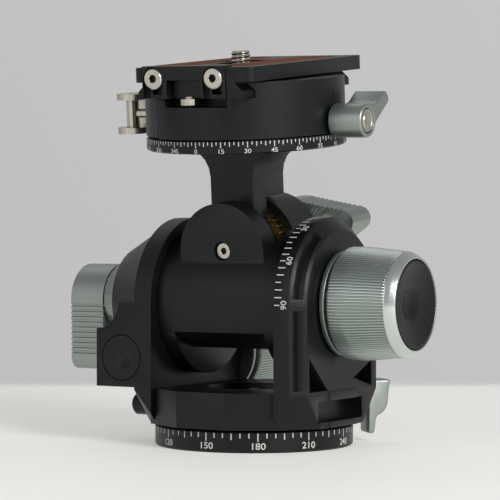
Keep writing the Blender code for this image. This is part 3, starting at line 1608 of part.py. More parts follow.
def make_lip(swing, plate, bottom, back):
    lip_height = (bottom, bottom + LIP_TOP)
    lip = block("anti_twist_lip", swing, (LIP_LEFT, LIP_RIGHT), (PLATE_FRONT, back), lip_height, BLACK)
    arch = block(
        "lip_arch",
        swing,
        (LIP_ARCH_LEFT, LIP_ARCH_RIGHT),
        (PLATE_FRONT - OVERRUN, back + OVERRUN),
        (bottom - OVERRUN, bottom + LIP_ARCH_TOP),
    )
    cut(lip, arch)
    level = bottom + LIP_SCREW_HEIGHT
    for name, across in (("lip_screw_left", LIP_SCREW_LEFT), ("lip_screw_right", LIP_SCREW_RIGHT)):
        head_back = PLATE_FRONT + LIP_SCREW_HEAD_HEIGHT
        head_width = LIP_SCREW_HEAD_RADIUS + GAP
        head_seat = head_back + GAP
        turned(
            name,
            swing,
            (0, -1, 0),
            (across, head_back, level),
            [
                (0, LIP_SCREW_HEAD_HEIGHT),
                (LIP_SCREW_HEAD_RADIUS, LIP_SCREW_HEAD_HEIGHT),
                (LIP_SCREW_HEAD_RADIUS, 0),
                (LIP_SCREW_RADIUS, 0),
                (LIP_SCREW_RADIUS, -LIP_SCREW_LENGTH),
                (0, -LIP_SCREW_LENGTH),
            ],
            STEEL,
            SMALL_SIDES,
        )
        thread = rod(
            f"{name}_hole",
            swing,
            (0, 1, 0),
            (across, back - OVERRUN, level),
            LIP_SCREW_RADIUS + GAP,
            LIP_SCREW_LENGTH,
            sides=SMALL_SIDES,
        )
        cut(plate, thread)
        for tool_name, half, near, far in (
            ("head", head_width, PLATE_FRONT - OVERRUN, head_seat),
            ("shank", LIP_SCREW_RADIUS + GAP, head_seat - OVERRUN, back + OVERRUN),
        ):
            top_arc = arc((across, level), half, 0, 180, 8)
            low = bottom - OVERRUN if tool_name == "head" else level - LIP_TRAVEL - half
            slot = top_arc + [(across - half, low), (across + half, low)]
            cut(lip, along_y(f"{name}_{tool_name}_slot", swing, [slot], (near, far)))


def make_camera_screw(swing, bottom, top):
    head_bottom = bottom + GAP
    turned(
        "camera_screw",
        swing,
        (0, 0, 1),
        (CAMERA_SCREW_ACROSS, 0, head_bottom),
        [
            (0, top + CAMERA_SCREW_RISE - head_bottom),
            (CAMERA_SCREW_RADIUS - GAP, top + CAMERA_SCREW_RISE - head_bottom),
            (CAMERA_SCREW_RADIUS, top + CAMERA_SCREW_RISE - head_bottom - GAP),
            (CAMERA_SCREW_RADIUS, CAMERA_SCREW_HEAD_HEIGHT),
            (CAMERA_SCREW_HEAD_RADIUS, CAMERA_SCREW_HEAD_HEIGHT),
            (CAMERA_SCREW_HEAD_RADIUS, 0),
            (0, 0),
        ],
        STEEL,
        MEDIUM_SIDES,
    )


def make_head():
    make_base()
    pan = axis_frame("pan_axis", None, (0, 0, 0))
    make_yoke(pan)
    make_yoke_fittings(pan)
    corner = math.radians(PAN_LOCK_CORNER_DEGREES)
    out = Vector((math.cos(corner), math.sin(corner), 0))
    pan_lock = axis_frame("pan_lock_axis", pan, out * PAN_LOCK_START + Vector((0, 0, PAN_LOCK_HEIGHT)))
    lock_lever(
        "pan_lock_lever",
        pan_lock,
        out,
        (0, 0, 0),
        (0, 0, -1),
        0.0,
        PAN_LOCK_LENGTH,
        PAN_LOCK_REACH,
        STEEL,
    )
    make_tilt_drive(pan)
    tilt = axis_frame("tilt_axis", pan, (0, 0, AXIS_1_HEIGHT), (math.radians(TILT_REST_DEGREES), 0, 0))
    make_drum(tilt)
    make_drum_fittings(tilt)
    make_roll_drive(tilt)
    release_lever(
        "tilt_release_lever",
        tilt,
        (-1, 0, 0),
        (-LEFT_CONE_END - 2 * GAP, 0, 0),
        TILT_LEVER_DEGREES,
        (0, 0, 1),
        1,
    )
    release_lever(
        "roll_release_lever",
        tilt,
        (0, 1, 0),
        (0, HEAD_BACK + 2 * GAP, AXIS_SPACING),
        -ROLL_LEVER_DEGREES,
        (1, 0, 0),
        -1,
    )
    roll = axis_frame("roll_axis", tilt, (0, 0, AXIS_SPACING), (0, math.radians(ROLL_REST_DEGREES), 0))
    make_arm(roll)
    swing = axis_frame("clamp_axis", roll, (0, 0, 0))
    make_clamp(swing)
    make_plate(swing)
    clamp_lock = axis_frame("clamp_lock_axis", swing, (CLAMP_LOCK_START, 0, CLAMP_BOTTOM + CLAMP_LOCK_HEIGHT))
    lock_lever(
        "clamp_lock_lever",
        clamp_lock,
        (1, 0, 0),
        (0, 0, 0),
        (0, 1, 0),
        CLAMP_LOCK_DEGREES,
        LOCK_HUB_LENGTH,
        LOCK_WING_REACH,
        GREY,
    )
    bpy.context.view_layer.update()
    for piece in list(PARTS.objects):
        if piece.type == "MESH":
            freeze(piece)


make_head()
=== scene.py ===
# %% [markdown]
# A geared tripod head, seen from its front and a little from the right. The CAD model gives every piece its
# place and its size in metres. This script keeps that frame and gives the pieces the look of the real ones:
# rounded edges, knurled knobs, engraved scales and the finish of anodised aluminium, steel and brass.

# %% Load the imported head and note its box
import json
import math

import bmesh
import bpy
from mathutils import Matrix, Vector


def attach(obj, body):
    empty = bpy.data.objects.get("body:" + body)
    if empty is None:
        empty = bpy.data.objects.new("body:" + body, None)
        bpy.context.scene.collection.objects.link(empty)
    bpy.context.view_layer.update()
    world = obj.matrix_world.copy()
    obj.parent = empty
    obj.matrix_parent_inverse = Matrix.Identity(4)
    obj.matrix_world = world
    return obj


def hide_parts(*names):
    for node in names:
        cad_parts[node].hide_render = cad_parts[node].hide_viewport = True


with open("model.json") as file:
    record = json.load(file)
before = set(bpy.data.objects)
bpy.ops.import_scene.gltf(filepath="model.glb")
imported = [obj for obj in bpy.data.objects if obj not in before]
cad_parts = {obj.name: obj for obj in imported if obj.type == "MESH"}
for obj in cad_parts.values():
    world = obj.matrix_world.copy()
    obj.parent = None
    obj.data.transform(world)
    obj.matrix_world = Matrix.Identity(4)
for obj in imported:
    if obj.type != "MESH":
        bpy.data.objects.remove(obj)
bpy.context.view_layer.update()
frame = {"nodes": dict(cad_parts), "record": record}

scene = bpy.context.scene
body_of_node = {}
for body, members in frame["record"]["behaviour"]["bodies"].items():
    for node in members:
        body_of_node[node] = body
print("pieces in the frame:", len(body_of_node))

# %% [markdown]
# The head is shown pitched forward and rolled a little, so most pieces lie in one of three frames. The base
# and the yoke use the world. The drum turns about axis 1, and the arm and the clamp turn about axis 2. A
# placement is a 4 by 4 matrix, and multiplying two of them puts one frame inside the other.

# %% The frames of the two geared axes
MM = 0.001
AXIS_1_HEIGHT = 46.66 * MM
AXIS_SPACING = 19.0 * MM
DRUM_PITCH = math.radians(7.03)
ARM_ROLL = math.radians(1.65)
WORLD = Matrix.Identity(4)
DRUM = Matrix.Translation((0, 0, AXIS_1_HEIGHT)) @ Matrix.Rotation(DRUM_PITCH, 4, "X")
CLAMP = DRUM @ Matrix.Translation((0, 0, AXIS_SPACING)) @ Matrix.Rotation(ARM_ROLL, 4, "Y")
NEARLY_ALONG = 0.9


def facing(direction, origin=(0, 0, 0), side=(0, 0, 1)):
    """A placement whose Z looks along the direction and whose X leans to the side."""
    z_axis = Vector(direction).normalized()
    side = Vector(side)
    if abs(z_axis.dot(side.normalized())) > NEARLY_ALONG:
        side = Vector((1, 0, 0))
    x_axis = (side - z_axis * side.dot(z_axis)).normalized()
    turned_axes = Matrix((x_axis, z_axis.cross(x_axis), z_axis)).transposed()
    return Matrix.Translation(Vector(origin)) @ turned_axes.to_4x4()


# %% [markdown]
# The camera comes first, because every look is judged through it. It stands 0.69 m from the head's middle,
# turned 30.55 degrees to the right of the front, and a little above the head's middle height. A long lens
# gives the photograph's flat perspective. The small shift puts the vanishing point where it was measured.

# %% The camera
AZIMUTH = math.radians(30.55)
DISTANCE = 0.6899
EYE_HEIGHT = 0.06952
FOCAL_PIXELS = 2096.8
FRAME_PIXELS = 500
SIDEWAYS_SHIFT = -0.0083
PITCH_DOWN = math.radians(0.49)
camera_data = bpy.data.cameras.new("camera")
camera_data.sensor_width = 36
camera_data.lens = FOCAL_PIXELS * camera_data.sensor_width / FRAME_PIXELS
camera_data.shift_x = SIDEWAYS_SHIFT
camera_data.clip_start = 0.01
camera_data.clip_end = 20
camera = bpy.data.objects.new("camera", camera_data)
camera.location = (DISTANCE * math.sin(AZIMUTH), -DISTANCE * math.cos(AZIMUTH), EYE_HEIGHT)
camera.rotation_euler = (math.pi / 2 - PITCH_DOWN, 0, AZIMUTH)
scene.collection.objects.link(camera)
scene.camera = camera
print("lens:", round(camera_data.lens, 1), "mm")

# %% [markdown]
# Shader nodes are plain arithmetic on numbers that change over a surface, so they read best as Python. This
# small class wraps a socket. Adding or multiplying two wires adds a Math node, and so the recipes below look
# like formulas. The same class works in Geometry Nodes, which share the Math node.


# %% A socket that does arithmetic
class Wire:
    """The output of a node, with operators that add Math nodes."""

    def __init__(self, tree, socket):
        self.tree = tree
        self.socket = socket

    def math(self, operation, first, second):
        made = add_node(self.tree, "ShaderNodeMath", {"operation": operation}, {0: first, 1: second})
        return Wire(self.tree, made.outputs[0])

    def __add__(self, other):
        return self.math("ADD", self, other)

    def __mul__(self, other):
        return self.math("MULTIPLY", self, other)

    def __sub__(self, other):
        return self.math("SUBTRACT", self, other)

    def __rsub__(self, other):
        return self.math("SUBTRACT", other, self)

    __radd__ = __add__
    __rmul__ = __mul__


def add_node(tree, kind, settings, inputs):
    """A node of this kind. Its settings are set first, then its sockets get values or links."""
    made = tree.nodes.new(kind)
    for name, value in settings.items():
        setattr(made, name, value)
    for name, value in inputs.items():
        socket = made.inputs[name]
        if isinstance(value, Wire):
            tree.links.new(value.socket, socket)
        else:
            socket.default_value = value
    return made


# %% [markdown]
# Anodised aluminium is bead-blasted before it is dyed, so it shows a very fine even grain, a soft sheen and
# faint clouds where the dye took a little more or less. Each metal below is the same recipe: clouds in its
# colour and its roughness, and a fine grain in its bump. The numbers are what makes it black, grey or steel.


# %% The recipe of a metal finish
CLOUD_SCALE = 55.0
CLOUD_SHEEN = 0.16
GRAIN_SHEEN = 0.10
GRAIN_HEIGHT = 0.05 * MM


def metal_finish(name, colour, roughness, metallic, clouds=0.12, grain=0.10, grain_scale=5200.0, gloss=0.5):
    material = bpy.data.materials.new(name)
    material.use_nodes = True
    tree = material.node_tree
    shader = tree.nodes["Principled BSDF"]
    place = Wire(tree, add_node(tree, "ShaderNodeTexCoord", {}, {}).outputs["Object"])
    cloud_inputs = {"Vector": place, "Scale": CLOUD_SCALE, "Detail": 3.0}
    cloud = Wire(tree, add_node(tree, "ShaderNodeTexNoise", {}, cloud_inputs).outputs[0])
    grain_inputs = {"Vector": place, "Scale": grain_scale, "Detail": 2.0}
    fine = Wire(tree, add_node(tree, "ShaderNodeTexNoise", {}, grain_inputs).outputs[0])
    darker = [channel * (1 - clouds) for channel in colour] + [1.0]
    lighter = [channel * (1 + clouds) for channel in colour] + [1.0]
    mixed = add_node(tree, "ShaderNodeMix", {"data_type": "RGBA"}, {0: cloud, 6: darker, 7: lighter})
    tree.links.new(mixed.outputs[2], shader.inputs["Base Color"])
    sheen = roughness + (cloud - 0.5) * CLOUD_SHEEN + (fine - 0.5) * GRAIN_SHEEN
    tree.links.new(sheen.socket, shader.inputs["Roughness"])
    shader.inputs["Metallic"].default_value = metallic
    shader.inputs["Specular IOR Level"].default_value = gloss
    bump = add_node(tree, "ShaderNodeBump", {}, {"Height": fine, "Strength": grain, "Distance": GRAIN_HEIGHT})
    tree.links.new(bump.outputs[0], shader.inputs["Normal"])
    return material


BLACK = metal_finish("black_anodised", (0.0048, 0.0058, 0.0057), 0.38, 0.0, gloss=0.28)
# The edge finishes of black, grey and steel are lighter than their metals: partly worn metal, partly a painted
# highlight along the edges.
BLACK_WEAR_AND_HIGHLIGHT = metal_finish("black_anodised_wear_and_highlight", (0.020, 0.022, 0.023), 0.30, 0.0, gloss=0.5)
GREY = metal_finish("grey_anodised", (0.325, 0.360, 0.335), 0.40, 0.88)
GREY_WEAR_AND_HIGHLIGHT = metal_finish("grey_anodised_wear_and_highlight", (0.46, 0.51, 0.48), 0.34, 0.85)
# The cut finish is partly bare cut metal and partly a painted highlight on the knobs' shoulders.
GREY_CUT_AND_HIGHLIGHT = metal_finish("grey_cut_and_highlight", (0.66, 0.70, 0.67), 0.24, 1.0, clouds=0.04)
STEEL = metal_finish("steel", (0.56, 0.52, 0.44), 0.30, 1.0, clouds=0.06)
STEEL_WEAR_AND_HIGHLIGHT = metal_finish("steel_wear_and_highlight", (0.66, 0.62, 0.54), 0.26, 1.0, clouds=0.04)
BRASS = metal_finish("brass", (0.62, 0.42, 0.14), 0.30, 1.0)
BRONZE = metal_finish("bronze", (0.38, 0.24, 0.10), 0.38, 1.0)
print("metals:", len(bpy.data.materials))

# %% [markdown]
# The marks are engraved and filled with white paint, which is matt and slightly warm. The grip strips on the
# plate are brown rubber, with a coarser grain and hardly any sheen.


# %% Paint and rubber
def plain_finish(name, colour, roughness, spots, spot_scale):
    return metal_finish(name, colour, roughness, 0.0, clouds=spots, grain=0.3, grain_scale=spot_scale)


WHITE = plain_finish("white_fill", (0.66, 0.68, 0.62), 0.60, 0.10, 4000.0)
BROWN = plain_finish("brown_rubber", (0.20, 0.075, 0.036), 0.78, 0.18, 3000.0)
# The socket finish is near black: partly oxide and partly painted shade inside the screws' sockets.
SOCKET_SHADE_AND_OXIDE = plain_finish("socket_shade_and_oxide", (0.014, 0.013, 0.012), 0.55, 0.10, 4000.0)

# %% [markdown]
# A new piece is put in the scene by one function. It takes a finished mesh, in place, gives it a finish, and
# lets it ride on the CAD body of the piece that it stands for. Two more helpers turn Blender's working forms
# of a shape, a bmesh or an object with modifiers, into a plain mesh.


def put(name, mesh, body, finishes, replaces=None):
    # Clearing the materials also sends every face back to the first one, so the choices are kept here.
    kept = [min(face.material_index, len(finishes) - 1) for face in mesh.polygons]
    mesh.materials.clear()
    for finish in finishes:
        mesh.materials.append(finish)
    mesh.polygons.foreach_set("material_index", kept)
    piece = bpy.data.objects.new(name, mesh)
    scene.collection.objects.link(piece)
    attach(piece, body)
    if replaces:
        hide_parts(replaces)
    return piece


def mesh_of(shape, name, crease=None):
    """A bmesh as a mesh. With a crease angle in degrees it is smooth except at its sharper edges."""
    mesh = bpy.data.meshes.new(name)
    shape.to_mesh(mesh)
    shape.free()
    if crease is not None:
        mesh.shade_smooth()
        mesh.set_sharp_from_angle(angle=math.radians(crease))
    return mesh


def plain_mesh(holder, name):
    """The evaluated shape of an object as a mesh of its own. The holder is removed."""
    bpy.context.view_layer.update()
    graph = bpy.context.evaluated_depsgraph_get()
    mesh = bpy.data.meshes.new_from_object(holder.evaluated_get(graph))
    mesh.name = name
    bpy.data.objects.remove(holder, do_unlink=True)
    return mesh


# %% [markdown]
# Milled parts never have knife edges: every edge is broken by a small chamfer, which catches the light and is
# most of what one sees of a black part. A CAD node is loose triangles, so a copy is welded, its flat faces
# are joined, and a Bevel modifier rounds what is sharp. The new faces get a slightly brighter finish, which
# stands partly for dye that is thinner there and wears first, and partly for a painted highlight on the edge.


# %% Round the edges of a CAD piece
CAD_WELD = 0.002 * MM
FLAT_WITHIN = math.radians(0.6)
SOFTENED_CREASE = math.radians(26)
EDGE_SEGMENTS = 2


def softened(node, width, finish, wear_and_highlight_finish, least_angle=28):
    mesh = frame["nodes"][node].data.copy()
    shape = bmesh.new()
    shape.from_mesh(mesh)
    bmesh.ops.remove_doubles(shape, verts=shape.verts, dist=CAD_WELD)
    bmesh.ops.dissolve_limit(shape, angle_limit=FLAT_WITHIN, verts=shape.verts, edges=shape.edges)
    shape.to_mesh(mesh)
    shape.free()
    mesh.materials.clear()
    mesh.materials.append(finish)
    mesh.materials.append(wear_and_highlight_finish)
    holder = bpy.data.objects.new(node + "_holder", mesh)
    scene.collection.objects.link(holder)
    edges = holder.modifiers.new("Edges", "BEVEL")
    edges.width = width
    edges.segments = EDGE_SEGMENTS
    edges.limit_method = "ANGLE"
    edges.angle_limit = math.radians(least_angle)
    # The bevel's new faces take the second finish, which is partly wear and partly painted highlight.
    edges.material = 1
    edges.use_clamp_overlap = True
    result = plain_mesh(holder, node + "_softened")
    result.shade_smooth()
    result.set_sharp_from_angle(angle=SOFTENED_CREASE)
    return put(node + "_finished", result, body_of_node[node], [finish, wear_and_highlight_finish], node)


for node, width in (
    ("yoke_frame", 0.30 * MM),
    ("drum", 0.35 * MM),
    ("arm", 0.35 * MM),
    ("clamp_body", 0.25 * MM),
    ("movable_jaw", 0.25 * MM),
    ("quick_release_plate", 0.30 * MM),
    ("anti_twist_lip", 0.25 * MM),
):
    softened(node, width, BLACK, BLACK_WEAR_AND_HIGHLIGHT)
for node in ("tilt_release_lever", "roll_release_lever"):
    softened(node, 0.10 * MM, GREY, GREY_WEAR_AND_HIGHLIGHT, least_angle=70)
softened("cam_lever", 0.25 * MM, STEEL, STEEL_WEAR_AND_HIGHLIGHT)

# %% [markdown]
# Knobs, rings and screws are turned on a lathe. Their shape is one outline of radius against height, so they
# are made the same way: the outline's corners are rounded, and it is spun about its axis. With 64 to 180
# sides no flats are left to see.


# %% Turn an outline on the lathe
WELD = 0.001 * MM
LONGEST_REACH = 0.4


def eased(outline, radius, steps=3):
    """The outline with each inner corner rounded."""
    points = [outline[0]]
    for before, corner, after in zip(outline, outline[1:], outline[2:]):
        corner = Vector(corner)
        back = Vector(before) - corner
        ahead = Vector(after) - corner
        reach = min(radius, back.length * LONGEST_REACH, ahead.length * LONGEST_REACH)
        start = corner + back.normalized() * reach
        end = corner + ahead.normalized() * reach
        for step in range(steps + 1):
            share = step / steps
            points.append(tuple(start.lerp(corner, share).lerp(corner.lerp(end, share), share)))
    points.append(outline[-1])
    return points


def turned(outline, place, sides=120, closed=False):
    """A mesh of the outline of (radius, height) points spun about Z and then placed."""
    shape = bmesh.new()
    points = [shape.verts.new((radius, 0, height)) for radius, height in outline]
    edges = [shape.edges.new(pair) for pair in zip(points, points[1:])]
    if closed:
        edges.append(shape.edges.new((points[-1], points[0])))
    bmesh.ops.spin(
        shape,
        geom=points + edges,
        cent=(0, 0, 0),
        axis=(0, 0, 1),
        angle=math.tau,
        steps=sides,
        use_duplicate=False,
    )
    bmesh.ops.remove_doubles(shape, verts=shape.verts, dist=WELD)
    bmesh.ops.recalc_face_normals(shape, faces=shape.faces)
    shape.transform(place)
    return mesh_of(shape, "turned", 35)


# %% [markdown]
# The base ring carries the pan scale on its rim, so it is turned again with a smooth rim under the marks.

# %% The base ring
BASE_RADIUS = 32.5 * MM
BASE_HEIGHT = 6.8 * MM
BASE_CHAMFER = 0.5 * MM
BASE_BORE = 7.0 * MM
HUB_RADIUS = 11.0 * MM
HUB_TOP = 13.5 * MM
base_outline = [
    (BASE_BORE, HUB_TOP),
    (HUB_RADIUS, HUB_TOP),
    (HUB_RADIUS, BASE_HEIGHT),
    (BASE_RADIUS - BASE_CHAMFER, BASE_HEIGHT),
    (BASE_RADIUS, BASE_HEIGHT - BASE_CHAMFER),
    (BASE_RADIUS, BASE_CHAMFER),
    (BASE_RADIUS - BASE_CHAMFER, 0),
    (BASE_BORE, 0),
]
base_ring = turned(base_outline, WORLD, 180, closed=True)
put("base_ring_turned", base_ring, "base", [BLACK], "base_ring")

# %% [markdown]
# The two geared knobs are alike: a plain collar, a knurled grip that narrows a little, a bright shoulder, and
# a black cap with a dished face for a fingertip, set into the shoulder. The shoulder's brightness is partly
# bare cut metal and partly a painted highlight. Each sits on its own worm's axis.
# Heights in the grip's outline count from where the grip starts, and in the cap's from where the cap does.

# %% The knobs' turned bodies
KNOB_BORE = 3.5 * MM
COLLAR_LENGTH = 1.7 * MM
COLLAR_RADIUS = 17.1 * MM
NECK_RADIUS = 15.4 * MM
GRIP_START = 2.9 * MM
GRIP_LENGTH = 22.8 * MM
GRIP_RADIUS = 18.2 * MM
GRIP_END_RADIUS = 16.9 * MM
GRIP_STRAIGHT = 5.5 * MM
KNURL_END = 19.4 * MM
KNURL_DEPTH = 0.42 * MM
CAP_START = 20.1 * MM
CAP_RADIUS = 14.1 * MM
CAP_SEAT_RADIUS = 14.4 * MM
CAP_SEAT_HEIGHT = 16.9 * MM
CAP_HEIGHT = 5.5 * MM
TILT_WORM_ACROSS = -34.0 * MM
TILT_WORM_HEIGHT = 28.6 * MM
TILT_COLLAR_START = 28.6 * MM
ROLL_COLLAR_START = 33.6 * MM
KNOBS = {
    "tilt_knob": facing((0, 1, 0), (TILT_WORM_ACROSS, TILT_COLLAR_START, TILT_WORM_HEIGHT)),
    "roll_knob": DRUM @ facing((1, 0, 0), (ROLL_COLLAR_START, 0, 0)),
}
collar_outline = [
    (KNOB_BORE, GRIP_START - 0.1 * MM),
    (NECK_RADIUS, GRIP_START - 0.1 * MM),
    (NECK_RADIUS, COLLAR_LENGTH),
    (COLLAR_RADIUS, COLLAR_LENGTH),
    (COLLAR_RADIUS, 0),
    (KNOB_BORE, 0),
    (KNOB_BORE, 0.01 * MM),
]
core_radius = GRIP_RADIUS - KNURL_DEPTH
core_end_radius = GRIP_END_RADIUS - KNURL_DEPTH
grip_outline = [
    (KNOB_BORE, CAP_SEAT_HEIGHT),
    (CAP_SEAT_RADIUS, CAP_SEAT_HEIGHT),
    (CAP_SEAT_RADIUS, GRIP_LENGTH),
    (15.1 * MM, GRIP_LENGTH),
    (15.4 * MM, GRIP_LENGTH - 0.4 * MM),
    (16.2 * MM, GRIP_LENGTH - 1.6 * MM),
    (16.8 * MM, KNURL_END + 0.6 * MM),
    (GRIP_END_RADIUS, KNURL_END),
    (core_end_radius, KNURL_END - 0.2 * MM),
    (core_radius, GRIP_STRAIGHT),
    (core_radius, 0.5 * MM),
    (core_radius - 0.5 * MM, 0),
    (KNOB_BORE, 0),
]
cap_outline = [
    (0, 2.0 * MM),
    (1.6 * MM, 2.05 * MM),
    (3.6 * MM, 2.5 * MM),
    (4.9 * MM, 3.3 * MM),
    (5.6 * MM, 3.6 * MM),
    (9.0 * MM, 4.2 * MM),
    (12.4 * MM, 5.1 * MM),
    (13.3 * MM, CAP_HEIGHT),
    (CAP_RADIUS, CAP_HEIGHT),
    (CAP_RADIUS, 0),
    (0, 0),
]
for name, place in KNOBS.items():
    body = body_of_node[name]
    along = place @ Matrix.Translation((0, 0, GRIP_START))
    collar = turned(eased(collar_outline, 0.4 * MM), place, closed=True)
    put(name + "_collar_turned", collar, body, [GREY], name + "_collar")
    grip = turned(eased(grip_outline, 0.25 * MM), along, closed=True)
    # The shoulder's faces take the cut finish, partly bare metal and partly painted highlight.
    for face in grip.polygons:
        spot = along.inverted() @ face.center
        if spot.z > KNURL_END and spot.xy.length > CAP_RADIUS + 0.5 * MM:
            face.material_index = 1
    put(name + "_turned", grip, body, [GREY, GREY_CUT_AND_HIGHLIGHT], name)
    cap_place = place @ Matrix.Translation((0, 0, CAP_START))
    put(name + "_cap_turned", turned(eased(cap_outline, 0.5 * MM), cap_place), body, [BLACK], name + "_cap")

# %% [markdown]
# Many small things here repeat in a circle: the knurls of a grip and the marks of a scale. Geometry Nodes set
# a copy of one small shape at each step round the axis, which is quicker to change than a thousand written
# out by hand. The tree ends by making the copies real, because the exported model can't hold instances.


# %% A Geometry Nodes tree that repeats a shape round an axis or along a line
TREE_INPUTS = {
    "Piece": "NodeSocketObject",
    "Count": "NodeSocketInt",
    "Start": "NodeSocketFloat",
    "Step": "NodeSocketFloat",
    "Finish": "NodeSocketMaterial",
}


def repeating_tree(name, round_axis):
    tree = bpy.data.node_groups.new(name, "GeometryNodeTree")
    for label, kind in TREE_INPUTS.items():
        tree.interface.new_socket(label, in_out="INPUT", socket_type=kind)
    tree.interface.new_socket("Shape", in_out="OUTPUT", socket_type="NodeSocketGeometry")
    given = tree.nodes.new("NodeGroupInput")
    wires = {label: Wire(tree, given.outputs[label]) for label in TREE_INPUTS}
    points = add_node(tree, "GeometryNodeMeshLine", {}, {"Count": wires["Count"], "Offset": (0, 0, 0)})
    index = Wire(tree, tree.nodes.new("GeometryNodeInputIndex").outputs[0])
    moved = wires["Start"] + wires["Step"] * index
    combined = add_node(tree, "ShaderNodeCombineXYZ", {}, {"Z" if round_axis else "Y": moved})
    vector = Wire(tree, combined.outputs[0])
    piece = add_node(tree, "GeometryNodeObjectInfo", {}, {"Object": wires["Piece"]})
    line = Wire(tree, points.outputs[0])
    shape = Wire(tree, piece.outputs["Geometry"])
    if round_axis:
        copies = add_node(
            tree, "GeometryNodeInstanceOnPoints", {}, {"Points": line, "Instance": shape, "Rotation": vector}
        )
    else:
        placed = add_node(tree, "GeometryNodeSetPosition", {}, {"Geometry": line, "Position": vector})
        line = Wire(tree, placed.outputs[0])
        copies = add_node(tree, "GeometryNodeInstanceOnPoints", {}, {"Points": line, "Instance": shape})
    copies = Wire(tree, copies.outputs[0])
    real = Wire(tree, add_node(tree, "GeometryNodeRealizeInstances", {}, {0: copies}).outputs[0])
    painted = add_node(tree, "GeometryNodeSetMaterial", {}, {"Geometry": real, "Material": wires["Finish"]})
    result = tree.nodes.new("NodeGroupOutput")
    tree.links.new(painted.outputs[0], result.inputs[0])
    return tree


ROUND_TREE = repeating_tree("repeat_round_axis", True)
LINE_TREE = repeating_tree("repeat_along_line", False)


def repeated(tree, shape_mesh, count, start, step, finish):
    """The mesh of one small shape repeated by a tree, in the shape's own frame."""
    small = bpy.data.objects.new("small_shape", shape_mesh)
    scene.collection.objects.link(small)
    holder = bpy.data.objects.new("repeat_holder", bpy.data.meshes.new("empty"))
    scene.collection.objects.link(holder)
    change = holder.modifiers.new("Repeat", "NODES")
    change.node_group = tree
    values = {"Piece": small, "Count": count, "Start": start, "Step": step, "Finish": finish}
    for item in tree.interface.items_tree:
        if item.in_out == "INPUT":
            change[item.identifier] = values[item.name]
    mesh = plain_mesh(holder, "repeated")
    bpy.data.objects.remove(small, do_unlink=True)
    return mesh


# %% [markdown]
# A knurl is one ridge with a narrower crest that follows the grip's side from end to end. More than a hundred
# of them stand round the grip, close enough that only a fine groove is left between two.

# %% The knobs' knurls
KNURLS = 114
KNURL_FILL = 0.43
CREST_SHARE = 0.35
FOOT_DEPTHS = 1.6


def ridge(stations, half_width, depth):
    """A low ridge along Z. The stations are (radius, height) points of its crest."""
    shape = bmesh.new()
    rows = []
    for index, (radius, height) in enumerate(stations):
        end = index in (0, len(stations) - 1)
        crest = radius - depth if end else radius
        foot = radius - FOOT_DEPTHS * depth
        crest_half = half_width * CREST_SHARE
        section = ((foot, -half_width), (crest, -crest_half), (crest, crest_half), (foot, half_width))
        rows.append([shape.verts.new((across, beside, height)) for across, beside in section])
    for low, high in zip(rows, rows[1:]):
        for corner in range(4):
            following = (corner + 1) % 4
            shape.faces.new((low[corner], low[following], high[following], high[corner]))
    shape.faces.new(list(reversed(rows[0])))
    shape.faces.new(rows[-1])
    bmesh.ops.recalc_face_normals(shape, faces=shape.faces)
    return mesh_of(shape, "ridge")


knurl_stations = [
    (GRIP_RADIUS, 0.15 * MM),
    (GRIP_RADIUS, 0.7 * MM),
    (GRIP_RADIUS, GRIP_STRAIGHT),
    (GRIP_END_RADIUS, KNURL_END - 0.3 * MM),
    (GRIP_END_RADIUS, KNURL_END + 0.1 * MM),
]
knurl_half_width = KNURL_FILL * math.tau * GRIP_RADIUS / KNURLS
for name, place in KNOBS.items():
    knurl = ridge(knurl_stations, knurl_half_width, KNURL_DEPTH)
    # The knurls take the grey edge finish, which is partly worn metal and partly painted highlight.
    knurls = repeated(ROUND_TREE, knurl, KNURLS, 0.0, math.tau / KNURLS, GREY_WEAR_AND_HIGHLIGHT)
    knurls.transform(place @ Matrix.Translation((0, 0, GRIP_START)))
    put(name + "_knurls", knurls, body_of_node[name], [GREY_WEAR_AND_HIGHLIGHT])
    print(name, "knurls:", len(knurls.polygons), "faces")

# %% [markdown]
# A scale is a row of short strokes and a row of numbers. On the real ring both are engraved and filled flush
# with paint, so each stroke is a thin raised plate a few hundredths of a millimetre proud. Three stroke
# lengths tell the degrees apart. Four calls of the same tree place them, so that no two strokes coincide.

# %% Strokes of a scale
PROUD = 0.03 * MM
STROKE_DEPTH = 0.12 * MM


def stroke(radius, low, high, width):
    """A thin plate on the X side of a cylinder about Z, between two heights."""
    shape = bmesh.new()
    bmesh.ops.create_cube(shape, size=1.0)
    for corner in shape.verts:
        corner.co.x = radius + PROUD - STROKE_DEPTH / 2 + corner.co.x * STROKE_DEPTH
        corner.co.y *= width
        corner.co.z = (low + high) / 2 + corner.co.z * (high - low)
    return mesh_of(shape, "stroke")


def joined(meshes, name):
    """Several meshes in one."""
    shape = bmesh.new()
    for mesh in meshes:
        shape.from_mesh(mesh)
    return mesh_of(shape, name)


def scale_strokes(radius, top, rows, width):
    """Rows of (length, count, start in degrees, step in degrees) of strokes that hang from the top."""
    made = []
    for length, count, start, step in rows:
        shape = stroke(radius, top - length, top, width)
        made.append(repeated(ROUND_TREE, shape, count, math.radians(start), math.radians(step), WHITE))
    return joined(made, "strokes")


# %% [markdown]
# Numbers start as a text object, which becomes a flat mesh with a little thickness. Each corner is then laid
# on the ring: what was across becomes an angle, and what was up stays a height.


# %% Numbers round a ring
FIGURE_DEPTH = 0.06 * MM
FIGURE_BOLDNESS = 0.012


